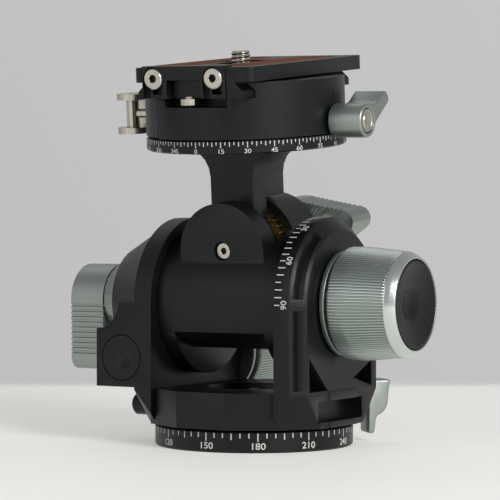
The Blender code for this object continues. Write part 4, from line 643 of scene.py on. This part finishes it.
def number_mesh(text, height):
    letters = bpy.data.curves.new("number", "FONT")
    letters.body = text
    letters.align_x = "CENTER"
    letters.extrude = FIGURE_DEPTH / height
    letters.offset = FIGURE_BOLDNESS
    letters.resolution_u = 4
    holder = bpy.data.objects.new("number_holder", letters)
    scene.collection.objects.link(holder)
    mesh = plain_mesh(holder, "number")
    tall = max(corner.co.y for corner in mesh.vertices)
    for corner in mesh.vertices:
        corner.co.x *= height / tall
        corner.co.y = (corner.co.y / tall - 0.5) * height
        corner.co.z *= height
    return mesh


def round_numbers(numbers, radius, middle, height, along=1.0, stretch=1.0):
    """A mesh of (text, degrees) numbers on a cylinder about Z. Along -1 reads the other way round."""
    made = []
    for text, degrees in numbers:
        mesh = number_mesh(text, height)
        for corner in mesh.vertices:
            angle = math.radians(degrees) + along * stretch * corner.co.x / radius
            out = radius + PROUD - FIGURE_DEPTH + corner.co.z
            up = middle + along * corner.co.y
            corner.co = (out * math.cos(angle), out * math.sin(angle), up)
        made.append(mesh)
    return joined(made, "numbers")


# %% [markdown]
# The pan scale runs round the base, with 180 towards the camera. It counts to the right, has a stroke every 5
# degrees and a number every 30. A row of strokes says its length, its count, its first angle and its step.

# %% The pan scale on the base ring
PAN_ZERO = -237.35
PAN_STROKE_TOP = 6.25 * MM
PAN_FIGURE_MIDDLE = 2.25 * MM
FIGURE_HEIGHT = 2.05 * MM
STROKE_WIDTH = 0.36 * MM
pan_strokes = scale_strokes(
    BASE_RADIUS,
    PAN_STROKE_TOP,
    [
        (2.55 * MM, 12, PAN_ZERO, 30),
        (2.05 * MM, 12, PAN_ZERO + 15, 30),
        (1.50 * MM, 24, PAN_ZERO + 5, 15),
        (1.50 * MM, 24, PAN_ZERO + 10, 15),
    ],
    STROKE_WIDTH,
)
pan_numbers = [(str(number), number + PAN_ZERO) for number in range(0, 360, 30)]
pan_figures = round_numbers(pan_numbers, BASE_RADIUS, PAN_FIGURE_MIDDLE, FIGURE_HEIGHT, stretch=1.14)
put("pan_scale", joined([pan_strokes, pan_figures], "pan_scale"), "base", [WHITE])

# %% [markdown]
# The upper scale is finer: a stroke every two and a half degrees and a number every 15. Its rim is part of
# the arm in the CAD model, so a thin smooth band is laid on it first, and the marks stand on the band.

# %% The upper scale under the clamp
RING_RADIUS = 32.5 * MM
RING_BOTTOM = 32.4 * MM
RING_HEIGHT = 4.2 * MM
UPPER_ZERO = -88.86
BAND_PROUD = 0.01 * MM
BAND_DEPTH = 0.30 * MM
UPPER_STROKE_WIDTH = 0.30 * MM
UPPER_FIGURE_MIDDLE = 0.98 * MM
UPPER_FIGURE_HEIGHT = 1.35 * MM
band_outline = [
    (RING_RADIUS - BAND_DEPTH, RING_HEIGHT - 0.45 * MM),
    (RING_RADIUS + BAND_PROUD, RING_HEIGHT - 0.55 * MM),
    (RING_RADIUS + BAND_PROUD, 0.55 * MM),
    (RING_RADIUS - BAND_DEPTH, 0.45 * MM),
]
ring_place = CLAMP @ Matrix.Translation((0, 0, RING_BOTTOM))
put("upper_scale_band", turned(band_outline, ring_place, 180, closed=True), "arm", [BLACK])
upper_strokes = scale_strokes(
    RING_RADIUS,
    RING_HEIGHT - 0.35 * MM,
    [
        (1.85 * MM, 24, UPPER_ZERO, 15),
        (1.40 * MM, 24, UPPER_ZERO + 5, 15),
        (1.40 * MM, 24, UPPER_ZERO + 10, 15),
        (0.95 * MM, 72, UPPER_ZERO + 2.5, 5),
    ],
    UPPER_STROKE_WIDTH,
)
upper_numbers = [(str(number), number + UPPER_ZERO) for number in range(0, 360, 15)]
upper_figures = round_numbers(
    upper_numbers, RING_RADIUS, UPPER_FIGURE_MIDDLE, UPPER_FIGURE_HEIGHT, stretch=1.18
)
upper_marks = joined([upper_strokes, upper_figures], "upper_scale")
upper_marks.transform(ring_place)
put("upper_scale", upper_marks, "arm", [WHITE])

# %% [markdown]
# The tilt scale follows the arch of the right leg. Its cylinder lies about axis 1, so the same strokes and
# numbers are made about Z and then laid over. Zero is at the top, and the numbers grow to 90 down both sides.

# %% The tilt scale on the right leg
ARCH_RADIUS = 27.7 * MM
ARCH_END = 90
ARCH_STROKE_START = 23.6 * MM
ARCH_FIGURE_MIDDLE = 26.85 * MM
ARCH_LONG = 2.5 * MM
ARCH_SHORT = 1.9 * MM
arch_place = facing((1, 0, 0), (0, 0, AXIS_1_HEIGHT))


def arch_row(length, count, start):
    """Strokes every 15 degrees, which all start at the same side of the band."""
    rows = [(length, count, start, 15)]
    return scale_strokes(ARCH_RADIUS, ARCH_STROKE_START + length, rows, STROKE_WIDTH)


arch_strokes = [arch_row(ARCH_LONG, 12, -85), arch_row(ARCH_LONG, 12, -80), arch_row(ARCH_SHORT, 13, -90)]
arch_numbers = [(str(abs(number)), number) for number in range(-ARCH_END, ARCH_END + 1, 30)]
arch_figures = round_numbers(
    arch_numbers, ARCH_RADIUS, ARCH_FIGURE_MIDDLE, FIGURE_HEIGHT, along=-1.0, stretch=1.05
)
arch_marks = joined(arch_strokes + [arch_figures], "tilt_scale")
arch_marks.transform(arch_place)
put("tilt_scale", arch_marks, "yoke", [WHITE])

# %% [markdown]
# Screws are what a close look finds first. A socket head is turned like the rest, but its recess is a
# hexagon. Here each ring of the head has 48 corners, and the rings inside the recess are pulled in to the
# hexagon's sides, so that one surface runs from the round head into the socket. The rows inside the socket
# are painted dark, partly for oxide and partly as painted shade in the deep recess.


# %% A socket screw
SHADED_SOCKET_ROWS = 3
SCREW_SIDES = 48
RIM_SHARE = 0.12


def hexagon_radius(angle, flat):
    """The distance from a hexagon's middle to its side, at this angle."""
    side = math.tau / 6
    return flat / math.cos((angle + side / 2) % side - side / 2)


def socket_screw(place, head_radius, head_height, shank_radius, shank_length, flat, depth):
    """A screw whose head points along Z and whose shank ends below zero."""
    edge = head_radius * RIM_SHARE
    rings = [
        (0.0, head_height - depth * 1.25, False),
        (flat * 0.98, head_height - depth, True),
        (flat, head_height - depth, True),
        (flat, head_height - flat * 0.10, True),
        (flat * 1.14, head_height, False),
        (head_radius - edge, head_height, False),
        (head_radius, head_height - edge, False),
        (head_radius, 0.0, False),
        (shank_radius, 0.0, False),
        (shank_radius, -shank_length, False),
        (0.0, -shank_length, False),
    ]
    shape = bmesh.new()
    loops = []
    for radius, height, hexagonal in rings:
        loop = []
        for index in range(SCREW_SIDES):
            angle = math.tau * index / SCREW_SIDES
            reach = hexagon_radius(angle, radius) if hexagonal else radius
            loop.append(shape.verts.new((reach * math.cos(angle), reach * math.sin(angle), height)))
        loops.append(loop)
    for row, (inner, outer) in enumerate(zip(loops, loops[1:])):
        for index in range(SCREW_SIDES):
            following = (index + 1) % SCREW_SIDES
            side = shape.faces.new((inner[index], inner[following], outer[following], outer[index]))
            # Rows inside the socket take the second finish: partly oxide, partly painted shade.
            side.material_index = 1 if row < SHADED_SOCKET_ROWS else 0
    bmesh.ops.remove_doubles(shape, verts=shape.verts, dist=WELD)
    bmesh.ops.recalc_face_normals(shape, faces=shape.faces)
    shape.transform(place)
    return mesh_of(shape, "socket_screw", 30)


# %% [markdown]
# Two pale socket screws hold the anti-twist lip to the plate, one sits in the drum where axis 2 ends, and one
# holds each release lever. Each stands at the place of the CAD node that it replaces.

# %% The head's screws
PLATE_BOTTOM = 50.0 * MM
PLATE_FRONT = -34.0 * MM
PIVOT_SEAT = -14.5 * MM
TILT_LEVER_END = -65.5 * MM
ROLL_LEVER_END = 39.4 * MM
for name, across in (("lip_screw_left", -13.4 * MM), ("lip_screw_right", 8.6 * MM)):
    place = CLAMP @ facing((0, -1, 0), (across, PLATE_FRONT + 2.2 * MM, PLATE_BOTTOM + 6.3 * MM))
    screw = socket_screw(
        place,
        head_radius=3.35 * MM,
        head_height=2.2 * MM,
        shank_radius=1.4 * MM,
        shank_length=9.5 * MM,
        flat=1.20 * MM,
        depth=1.7 * MM,
    )
    put(name + "_finished", screw, body_of_node[name], [STEEL, SOCKET_SHADE_AND_OXIDE], name)
pivot_place = DRUM @ facing((0, -1, 0), (0, PIVOT_SEAT, AXIS_SPACING))
pivot = socket_screw(
    pivot_place,
    head_radius=2.8 * MM,
    head_height=2.6 * MM,
    shank_radius=2.7 * MM,
    shank_length=0.2 * MM,
    flat=1.0 * MM,
    depth=1.2 * MM,
)
put("pivot_screw_finished", pivot, body_of_node["pivot_screw"], [STEEL, SOCKET_SHADE_AND_OXIDE], "pivot_screw")
for name, place in (
    ("tilt_release_lever_screw", DRUM @ facing((-1, 0, 0), (TILT_LEVER_END, 0, 0))),
    ("roll_release_lever_screw", DRUM @ facing((0, 1, 0), (0, ROLL_LEVER_END, AXIS_SPACING))),
):
    screw = socket_screw(
        place,
        head_radius=4.5 * MM,
        head_height=2.0 * MM,
        shank_radius=2.3 * MM,
        shank_length=20.0 * MM,
        flat=1.6 * MM,
        depth=1.4 * MM,
    )
    put(name + "_finished", screw, body_of_node[name], [STEEL, SOCKET_SHADE_AND_OXIDE], name)

# %% [markdown]
# The two lock levers are cast shapes. Each is a flat outline with rounded corners, given a thickness and
# rounded edges.


# %% Cast a flat outline
def eased_loop(outline, radius):
    """A closed outline with every corner rounded."""
    return eased(outline + outline[:2], radius)[1:-1]


def extruded(outline, thickness, place, rounding):
    """A flat outline in X and Y with a thickness about Z = 0 and rounded edges."""
    shape = bmesh.new()
    face = shape.faces.new([shape.verts.new((across, up, -thickness / 2)) for across, up in outline])
    grown = bmesh.ops.extrude_face_region(shape, geom=[face])
    for item in grown["geom"]:
        if isinstance(item, bmesh.types.BMVert):
            item.co.z = thickness / 2
    bmesh.ops.recalc_face_normals(shape, faces=shape.faces)
    rims = [edge for edge in shape.edges if edge.verts[0].co.z == edge.verts[1].co.z]
    bmesh.ops.bevel(
        shape, geom=rims, offset=rounding, segments=3, profile=0.5, affect="EDGES", clamp_overlap=True
    )
    shape.transform(place)
    return mesh_of(shape, "extruded", 30)


# %% [markdown]
# The clamp's lock lever has a cast wing on a turned hub. The hub's end shows the rim of its bore and the head
# of its screw, which has a turned groove and a dimple.

# %% The clamp's lock lever and its screw
LOCK_HUB_RADIUS = 5.4 * MM
LOCK_LENGTH = 11.8 * MM
LOCK_BORE = 2.1 * MM
LOCK_SEAT_RADIUS = 4.1 * MM
WING_TURN = math.radians(33.0)
WING_LENGTH = 16.6 * MM
WING_BOTTOM = -4.3 * MM
WING_ROOT_TOP = 2.6 * MM
lock_place = CLAMP @ facing((1, 0, 0), (33.0 * MM, 0, 40.7 * MM), (0, 1, 0))
lock_hub_outline = [
    (LOCK_BORE, 0),
    (LOCK_BORE, LOCK_LENGTH - 1.2 * MM),
    (LOCK_SEAT_RADIUS, LOCK_LENGTH - 1.2 * MM),
    (LOCK_SEAT_RADIUS, LOCK_LENGTH - 0.1 * MM),
    (4.6 * MM, LOCK_LENGTH),
    (LOCK_HUB_RADIUS - 0.4 * MM, LOCK_LENGTH),
    (LOCK_HUB_RADIUS, LOCK_LENGTH - 0.5 * MM),
    (LOCK_HUB_RADIUS, 0.4 * MM),
    (LOCK_HUB_RADIUS - 0.4 * MM, 0),
]
lock_hub = turned(eased(lock_hub_outline, 0.2 * MM), lock_place, 72, closed=True)
wing_outline = [
    (0.0, WING_BOTTOM),
    (WING_LENGTH, WING_BOTTOM),
    (WING_LENGTH, 0.0),
    (9.2 * MM, 0.0),
    (4.6 * MM, WING_ROOT_TOP),
    (0.0, WING_ROOT_TOP),
]
wing_middle = Matrix.Translation((0, 0, LOCK_LENGTH / 2))
wing_place = lock_place @ Matrix.Rotation(WING_TURN, 4, "Z") @ wing_middle
wing = extruded(eased_loop(wing_outline, 2.0 * MM), LOCK_LENGTH - 0.8 * MM, wing_place, 0.5 * MM)
put("clamp_lock_lever_cast", joined([lock_hub, wing], "lever"), "clamp_lock", [GREY], "clamp_lock_lever")
lock_screw_outline = [
    (0, LOCK_LENGTH - 1.3 * MM),
    (1.1 * MM, LOCK_LENGTH - 0.7 * MM),
    (1.3 * MM, LOCK_LENGTH - 0.3 * MM),
    (2.3 * MM, LOCK_LENGTH - 0.3 * MM),
    (2.5 * MM, LOCK_LENGTH - 0.5 * MM),
    (2.9 * MM, LOCK_LENGTH - 0.5 * MM),
    (3.1 * MM, LOCK_LENGTH - 0.3 * MM),
    (3.6 * MM, LOCK_LENGTH - 0.3 * MM),
    (3.7 * MM, LOCK_LENGTH - 0.9 * MM),
    (1.8 * MM, LOCK_LENGTH - 0.9 * MM),
    (1.8 * MM, -5.8 * MM),
    (0, -5.8 * MM),
]
lock_screw = turned(lock_screw_outline, lock_place, 64)
put("clamp_lock_lever_screw_turned", lock_screw, "clamp_lock", [STEEL], "clamp_lock_lever_screw")

# %% [markdown]
# The pan lock lever hangs beside the base, half way between the right and the back. Its outline is drawn on
# the upright plane through the head's middle, with the distance outwards first and then the height.

# %% The pan lock lever
PAN_LOCK_OUT = Vector((1, 1, 0)).normalized()
PAN_LOCK_WIDTH = 9.0 * MM
pan_lock_outline = [
    (37.9 * MM, 20.6 * MM),
    (45.9 * MM, 20.6 * MM),
    (45.2 * MM, 17.0 * MM),
    (44.8 * MM, 12.0 * MM),
    (43.4 * MM, 9.6 * MM),
    (40.9 * MM, 8.4 * MM),
    (40.2 * MM, 2.7 * MM),
    (37.9 * MM, 2.7 * MM),
]
upwards = Vector((0, 0, 1))
pan_lock_axes = Matrix((PAN_LOCK_OUT, upwards, PAN_LOCK_OUT.cross(upwards))).transposed().to_4x4()
pan_lock = extruded(eased_loop(pan_lock_outline, 1.3 * MM), PAN_LOCK_WIDTH, pan_lock_axes, 0.7 * MM)
put("pan_lock_lever_cast", pan_lock, "pan_lock", [GREY], "pan_lock_lever")

# %% [markdown]
# The camera screw is a quarter inch stud with twenty threads to the inch. A thread is a groove that climbs by
# one pitch a turn, so the radius of each point of a fine grid depends on its height and its angle.

# %% The camera screw
THREAD_PITCH = 1.27 * MM
THREAD_DEPTH = 0.55 * MM
THREAD_FILL = 0.9
TIP_LENGTH = 0.8 * MM
TIP_TAPER = 0.8
STUD_RADIUS = 3.175 * MM
STUD_SIDES = 64
ROWS_A_PITCH = 10


def threaded_stud(place, radius, low, high):
    """A stud along Z. Its last stretch tapers, so that a camera finds it."""
    rows = int(round((high - low) / THREAD_PITCH * ROWS_A_PITCH))
    shape = bmesh.new()
    grid = []
    for row in range(rows + 1):
        height = low + (high - low) * row / rows
        ease = min(1.0, (high - height) / TIP_LENGTH)
        loop = []
        for side in range(STUD_SIDES):
            turn = side / STUD_SIDES
            angle = math.tau * turn
            phase = (height / THREAD_PITCH - turn) % 1.0
            groove = THREAD_DEPTH * (1 - abs(2 * phase - 1)) * THREAD_FILL
            taper = (1 - ease) * THREAD_DEPTH * TIP_TAPER * (1 - groove / THREAD_DEPTH)
            reach = radius - groove - taper
            loop.append(shape.verts.new((reach * math.cos(angle), reach * math.sin(angle), height)))
        grid.append(loop)
    for lower, upper in zip(grid, grid[1:]):
        for side in range(STUD_SIDES):
            following = (side + 1) % STUD_SIDES
            shape.faces.new((lower[side], lower[following], upper[following], upper[side]))
    shape.faces.new(grid[-1])
    shape.faces.new(list(reversed(grid[0])))
    bmesh.ops.recalc_face_normals(shape, faces=shape.faces)
    shape.transform(place)
    return mesh_of(shape, "stud", 40)


HEAD_RADIUS = 7.5 * MM
HEAD_HEIGHT = 2.5 * MM
HEAD_RECESS_RADIUS = 5.4 * MM
HEAD_RECESS_DEPTH = 0.5 * MM
STUD_TOP = 13.0 * MM
screw_place = CLAMP @ Matrix.Translation((-1.0 * MM, 0, PLATE_BOTTOM + 0.3 * MM))
stud = threaded_stud(screw_place, STUD_RADIUS, HEAD_HEIGHT - 0.1 * MM, STUD_TOP)
head_outline = [
    (0, HEAD_HEIGHT),
    (STUD_RADIUS - 0.8 * MM, HEAD_HEIGHT),
    (HEAD_RADIUS, HEAD_HEIGHT),
    (HEAD_RADIUS, 0),
    (HEAD_RECESS_RADIUS, 0),
    (HEAD_RECESS_RADIUS, HEAD_RECESS_DEPTH),
    (0, HEAD_RECESS_DEPTH),
]
screw_head = turned(eased(head_outline, 0.2 * MM), screw_place, 64)
camera_screw = joined([stud, screw_head], "camera_screw")
put("camera_screw_finished", camera_screw, "camera_screw", [STEEL], "camera_screw")

# %% [markdown]
# The grip strips are ribbed across, so that a camera can't slide back. A low rounded rib is repeated along
# each strip by the second tree. The strip itself is a block with eased edges.


# %% The ribbed grip strips
def eased_block(low, high, width):
    """A block between two opposite corners, with its edges cut back by the width."""
    shape = bmesh.new()
    bmesh.ops.create_cube(shape, size=1.0)
    for corner in shape.verts:
        for axis in range(3):
            corner.co[axis] = (low[axis] + high[axis]) / 2 + corner.co[axis] * (high[axis] - low[axis])
    bmesh.ops.bevel(shape, geom=shape.edges[:], offset=width, segments=2, affect="EDGES")
    return mesh_of(shape, "block")


STRIP_TOP = PLATE_BOTTOM + 10.1 * MM
STRIP_HALF = 5.5 * MM
STRIP_FRONT = -25.2 * MM
STRIP_BACK = 30.0 * MM
RIB_PITCH = 1.1 * MM
RIB_HALF = 5.3 * MM
RIB_HALF_WIDTH = 0.34 * MM
FIRST_RIB = -24.4 * MM
strip_length = STRIP_BACK - STRIP_FRONT
rib_count = int(strip_length / RIB_PITCH) - 1
for name, middle in (("grip_strip_left", -13.0 * MM), ("grip_strip_right", 13.0 * MM)):
    strip = eased_block(
        (middle - STRIP_HALF, STRIP_FRONT, STRIP_TOP - 0.9 * MM),
        (middle + STRIP_HALF, STRIP_BACK, STRIP_TOP - 0.2 * MM),
        0.1 * MM,
    )
    rib = eased_block(
        (middle - RIB_HALF, -RIB_HALF_WIDTH, STRIP_TOP - 0.5 * MM),
        (middle + RIB_HALF, RIB_HALF_WIDTH, STRIP_TOP),
        0.18 * MM,
    )
    ribs = repeated(LINE_TREE, rib, rib_count, FIRST_RIB, RIB_PITCH, BROWN)
    mesh = joined([strip, ribs], name)
    mesh.transform(CLAMP)
    put(name + "_ribbed", mesh, body_of_node[name], [BROWN], name)

# %% [markdown]
# Behind the arch of the anti-twist lip one sees the plate's own front face, with the head of the stop screw
# under it. The face is a small black block between the lip's two feet.

# %% The plate's front face
face_block = eased_block((-8.0 * MM, -30.5 * MM, 50.4 * MM), (3.9 * MM, -29.7 * MM, 55.5 * MM), 0.15 * MM)
face_block.transform(CLAMP)
put("plate_front_face", face_block, "plate", [BLACK])

# %% [markdown]
# The remaining CAD pieces have the right shape already: gears, shafts, bushes and rings. They keep their
# meshes and only take a finish. Bushes and bearings are bronze, and what isn't named here is steel.

# %% Finishes for the CAD pieces that stay
stays = {
    "base_thread_insert": STEEL,
    "pan_retaining_ring": STEEL,
    "worm_bore_cap": BLACK,
    "tilt_release_lever_ring": GREY,
    "roll_release_lever_ring": GREY,
    "tilt_worm_wheel": BRASS,
    "roll_worm_wheel": BRASS,
}
for node, piece in frame["nodes"].items():
    if piece.hide_render:
        continue
    finish = stays.get(node)
    if finish is None:
        finish = BRONZE if "bush" in node or "bearing" in node or "sleeve" in node else STEEL
    piece.data.materials.clear()
    piece.data.materials.append(finish)
print("CAD pieces that stay:", len([o for o in frame["nodes"].values() if not o.hide_render]))

# %% [markdown]
# The head stands on a white table before a grey wall. The table ends a quarter of a metre behind the head,
# which gives the horizontal edge in the photograph, and fades out over a short stretch, because that edge is
# out of focus. Camera and mirror rays see the table lifted a little, so no light is added to the head.

# %% The table
view_turn = Matrix.Rotation(AZIMUTH, 4, "Z")
TABLE_EDGE = 0.262
EDGE_BLUR = 0.022
TABLE_HALF_WIDTH = 1.6
TABLE_NEAR = -1.3
TABLE_COLOUR = (0.86, 0.87, 0.84, 1)
TABLE_LIFT = (0.33, 0.33, 0.315, 1)
table_finish = bpy.data.materials.new("white_table")
table_finish.use_nodes = True
table_tree = table_finish.node_tree
table_shader = table_tree.nodes["Principled BSDF"]
table_shader.inputs["Base Color"].default_value = TABLE_COLOUR
table_shader.inputs["Roughness"].default_value = 0.6
spot = add_node(table_tree, "ShaderNodeTexCoord", {}, {})
parts = add_node(table_tree, "ShaderNodeSeparateXYZ", {}, {0: Wire(table_tree, spot.outputs["Object"])})
depth = Wire(table_tree, parts.outputs[1])
fade = add_node(
    table_tree,
    "ShaderNodeMapRange",
    {"interpolation_type": "SMOOTHSTEP"},
    {0: depth, 1: TABLE_EDGE - EDGE_BLUR, 2: TABLE_EDGE + EDGE_BLUR, 3: 0.0, 4: 1.0},
)
rays = table_tree.nodes.new("ShaderNodeLightPath")
looked_at = Wire(table_tree, rays.outputs["Is Camera Ray"]) + Wire(table_tree, rays.outputs["Is Glossy Ray"])
lift_inputs = {0: looked_at, 6: (0, 0, 0, 1), 7: TABLE_LIFT}
lift = add_node(table_tree, "ShaderNodeMix", {"data_type": "RGBA"}, lift_inputs)
table_tree.links.new(lift.outputs[2], table_shader.inputs["Emission Color"])
table_shader.inputs["Emission Strength"].default_value = 1.0
clear = table_tree.nodes.new("ShaderNodeBsdfTransparent")
blend = table_tree.nodes.new("ShaderNodeMixShader")
table_tree.links.new(fade.outputs[0], blend.inputs[0])
table_tree.links.new(table_shader.outputs[0], blend.inputs[1])
table_tree.links.new(clear.outputs[0], blend.inputs[2])
table_tree.links.new(blend.outputs[0], table_tree.nodes["Material Output"].inputs[0])
table_mesh = bpy.data.meshes.new("table")
table_far = TABLE_EDGE + EDGE_BLUR
corners = [
    (-TABLE_HALF_WIDTH, TABLE_NEAR, 0),
    (TABLE_HALF_WIDTH, TABLE_NEAR, 0),
    (TABLE_HALF_WIDTH, table_far, 0),
    (-TABLE_HALF_WIDTH, table_far, 0),
]
table_mesh.from_pydata(corners, [], [(0, 1, 2, 3)])
table_mesh.materials.append(table_finish)
table = bpy.data.objects.new("table", table_mesh)
table.matrix_world = view_turn
scene.collection.objects.link(table)

# %% [markdown]
# The wall is the world's colour as the camera sees it, a little lighter to the right and towards the top. All
# other rays see the room's air, whose even light fills the shadows. Mirror rays see some of both.

# %% The wall and the room's light
WALL_COLOUR = (0.545, 0.540, 0.545, 1)
WALL_RIGHTWARD = 0.20
WALL_UPWARD = 0.12
AIR_COLOUR = (0.97, 0.98, 1.0, 1)
AIR_LEVEL = 0.44
AIR_UPWARD = 0.30
MIRRORED_SHARE = 0.35
world = bpy.data.worlds.new("studio")
scene.world = world
world.use_nodes = True
world_tree = world.node_tree
world_tree.nodes.clear()
path = world_tree.nodes.new("ShaderNodeLightPath")
seen = Wire(world_tree, path.outputs["Is Camera Ray"])
mirrored = Wire(world_tree, path.outputs["Is Glossy Ray"])
through = Wire(world_tree, path.outputs["Is Transmission Ray"])
direction = add_node(world_tree, "ShaderNodeTexCoord", {}, {})
looking = Wire(world_tree, direction.outputs["Generated"])
axes = add_node(world_tree, "ShaderNodeSeparateXYZ", {}, {0: looking})
east, north, up = [Wire(world_tree, socket) for socket in axes.outputs]
rightward = east * math.cos(AZIMUTH) + north * math.sin(AZIMUTH)
wall_tone = rightward * WALL_RIGHTWARD + up * WALL_UPWARD + 1.0
wall = add_node(world_tree, "ShaderNodeBackground", {}, {"Color": WALL_COLOUR, "Strength": wall_tone})
air_tone = AIR_LEVEL - up * AIR_UPWARD
air = add_node(world_tree, "ShaderNodeBackground", {}, {"Color": AIR_COLOUR, "Strength": air_tone})
wall_share = seen + mirrored * MIRRORED_SHARE + through
shown = add_node(world_tree, "ShaderNodeClamp", {}, {"Value": wall_share})
mix = world_tree.nodes.new("ShaderNodeMixShader")
world_tree.links.new(shown.outputs[0], mix.inputs[0])
world_tree.links.new(air.outputs[0], mix.inputs[1])
world_tree.links.new(wall.outputs[0], mix.inputs[2])
out = world_tree.nodes.new("ShaderNodeOutputWorld")
world_tree.links.new(mix.outputs[0], out.inputs[0])

# %% [markdown]
# Three soft boxes light the head as in a small product studio. The main one stands to the right of the
# camera and a little above it, and draws the bright crescent on the knob's shoulder. A weak one on the left
# opens the block's side, and one from behind draws the upper edges. Places are as the camera sees them: to its
# right, away from it, and up.

# %% The soft boxes
HEAD_MIDDLE = Vector((0, 0, 0.06))


def soft_box(name, position, size, power):
    light = bpy.data.lights.new(name, "AREA")
    light.shape = "RECTANGLE"
    light.size, light.size_y = size
    light.energy = power
    lamp = bpy.data.objects.new(name, light)
    lamp.location = view_turn @ Vector(position)
    aim = (HEAD_MIDDLE - lamp.location).to_track_quat("-Z", "Y")
    lamp.rotation_euler = aim.to_euler()
    scene.collection.objects.link(lamp)


soft_box("key", position=(0.62, -0.95, 0.55), size=(0.45, 0.5), power=9.0)
soft_box("fill", position=(-0.85, -0.75, 0.45), size=(0.6, 0.8), power=1.6)
soft_box("rim", position=(-0.25, 0.7, 0.9), size=(0.9, 0.4), power=0.7)
scene.view_settings.view_transform = "Standard"
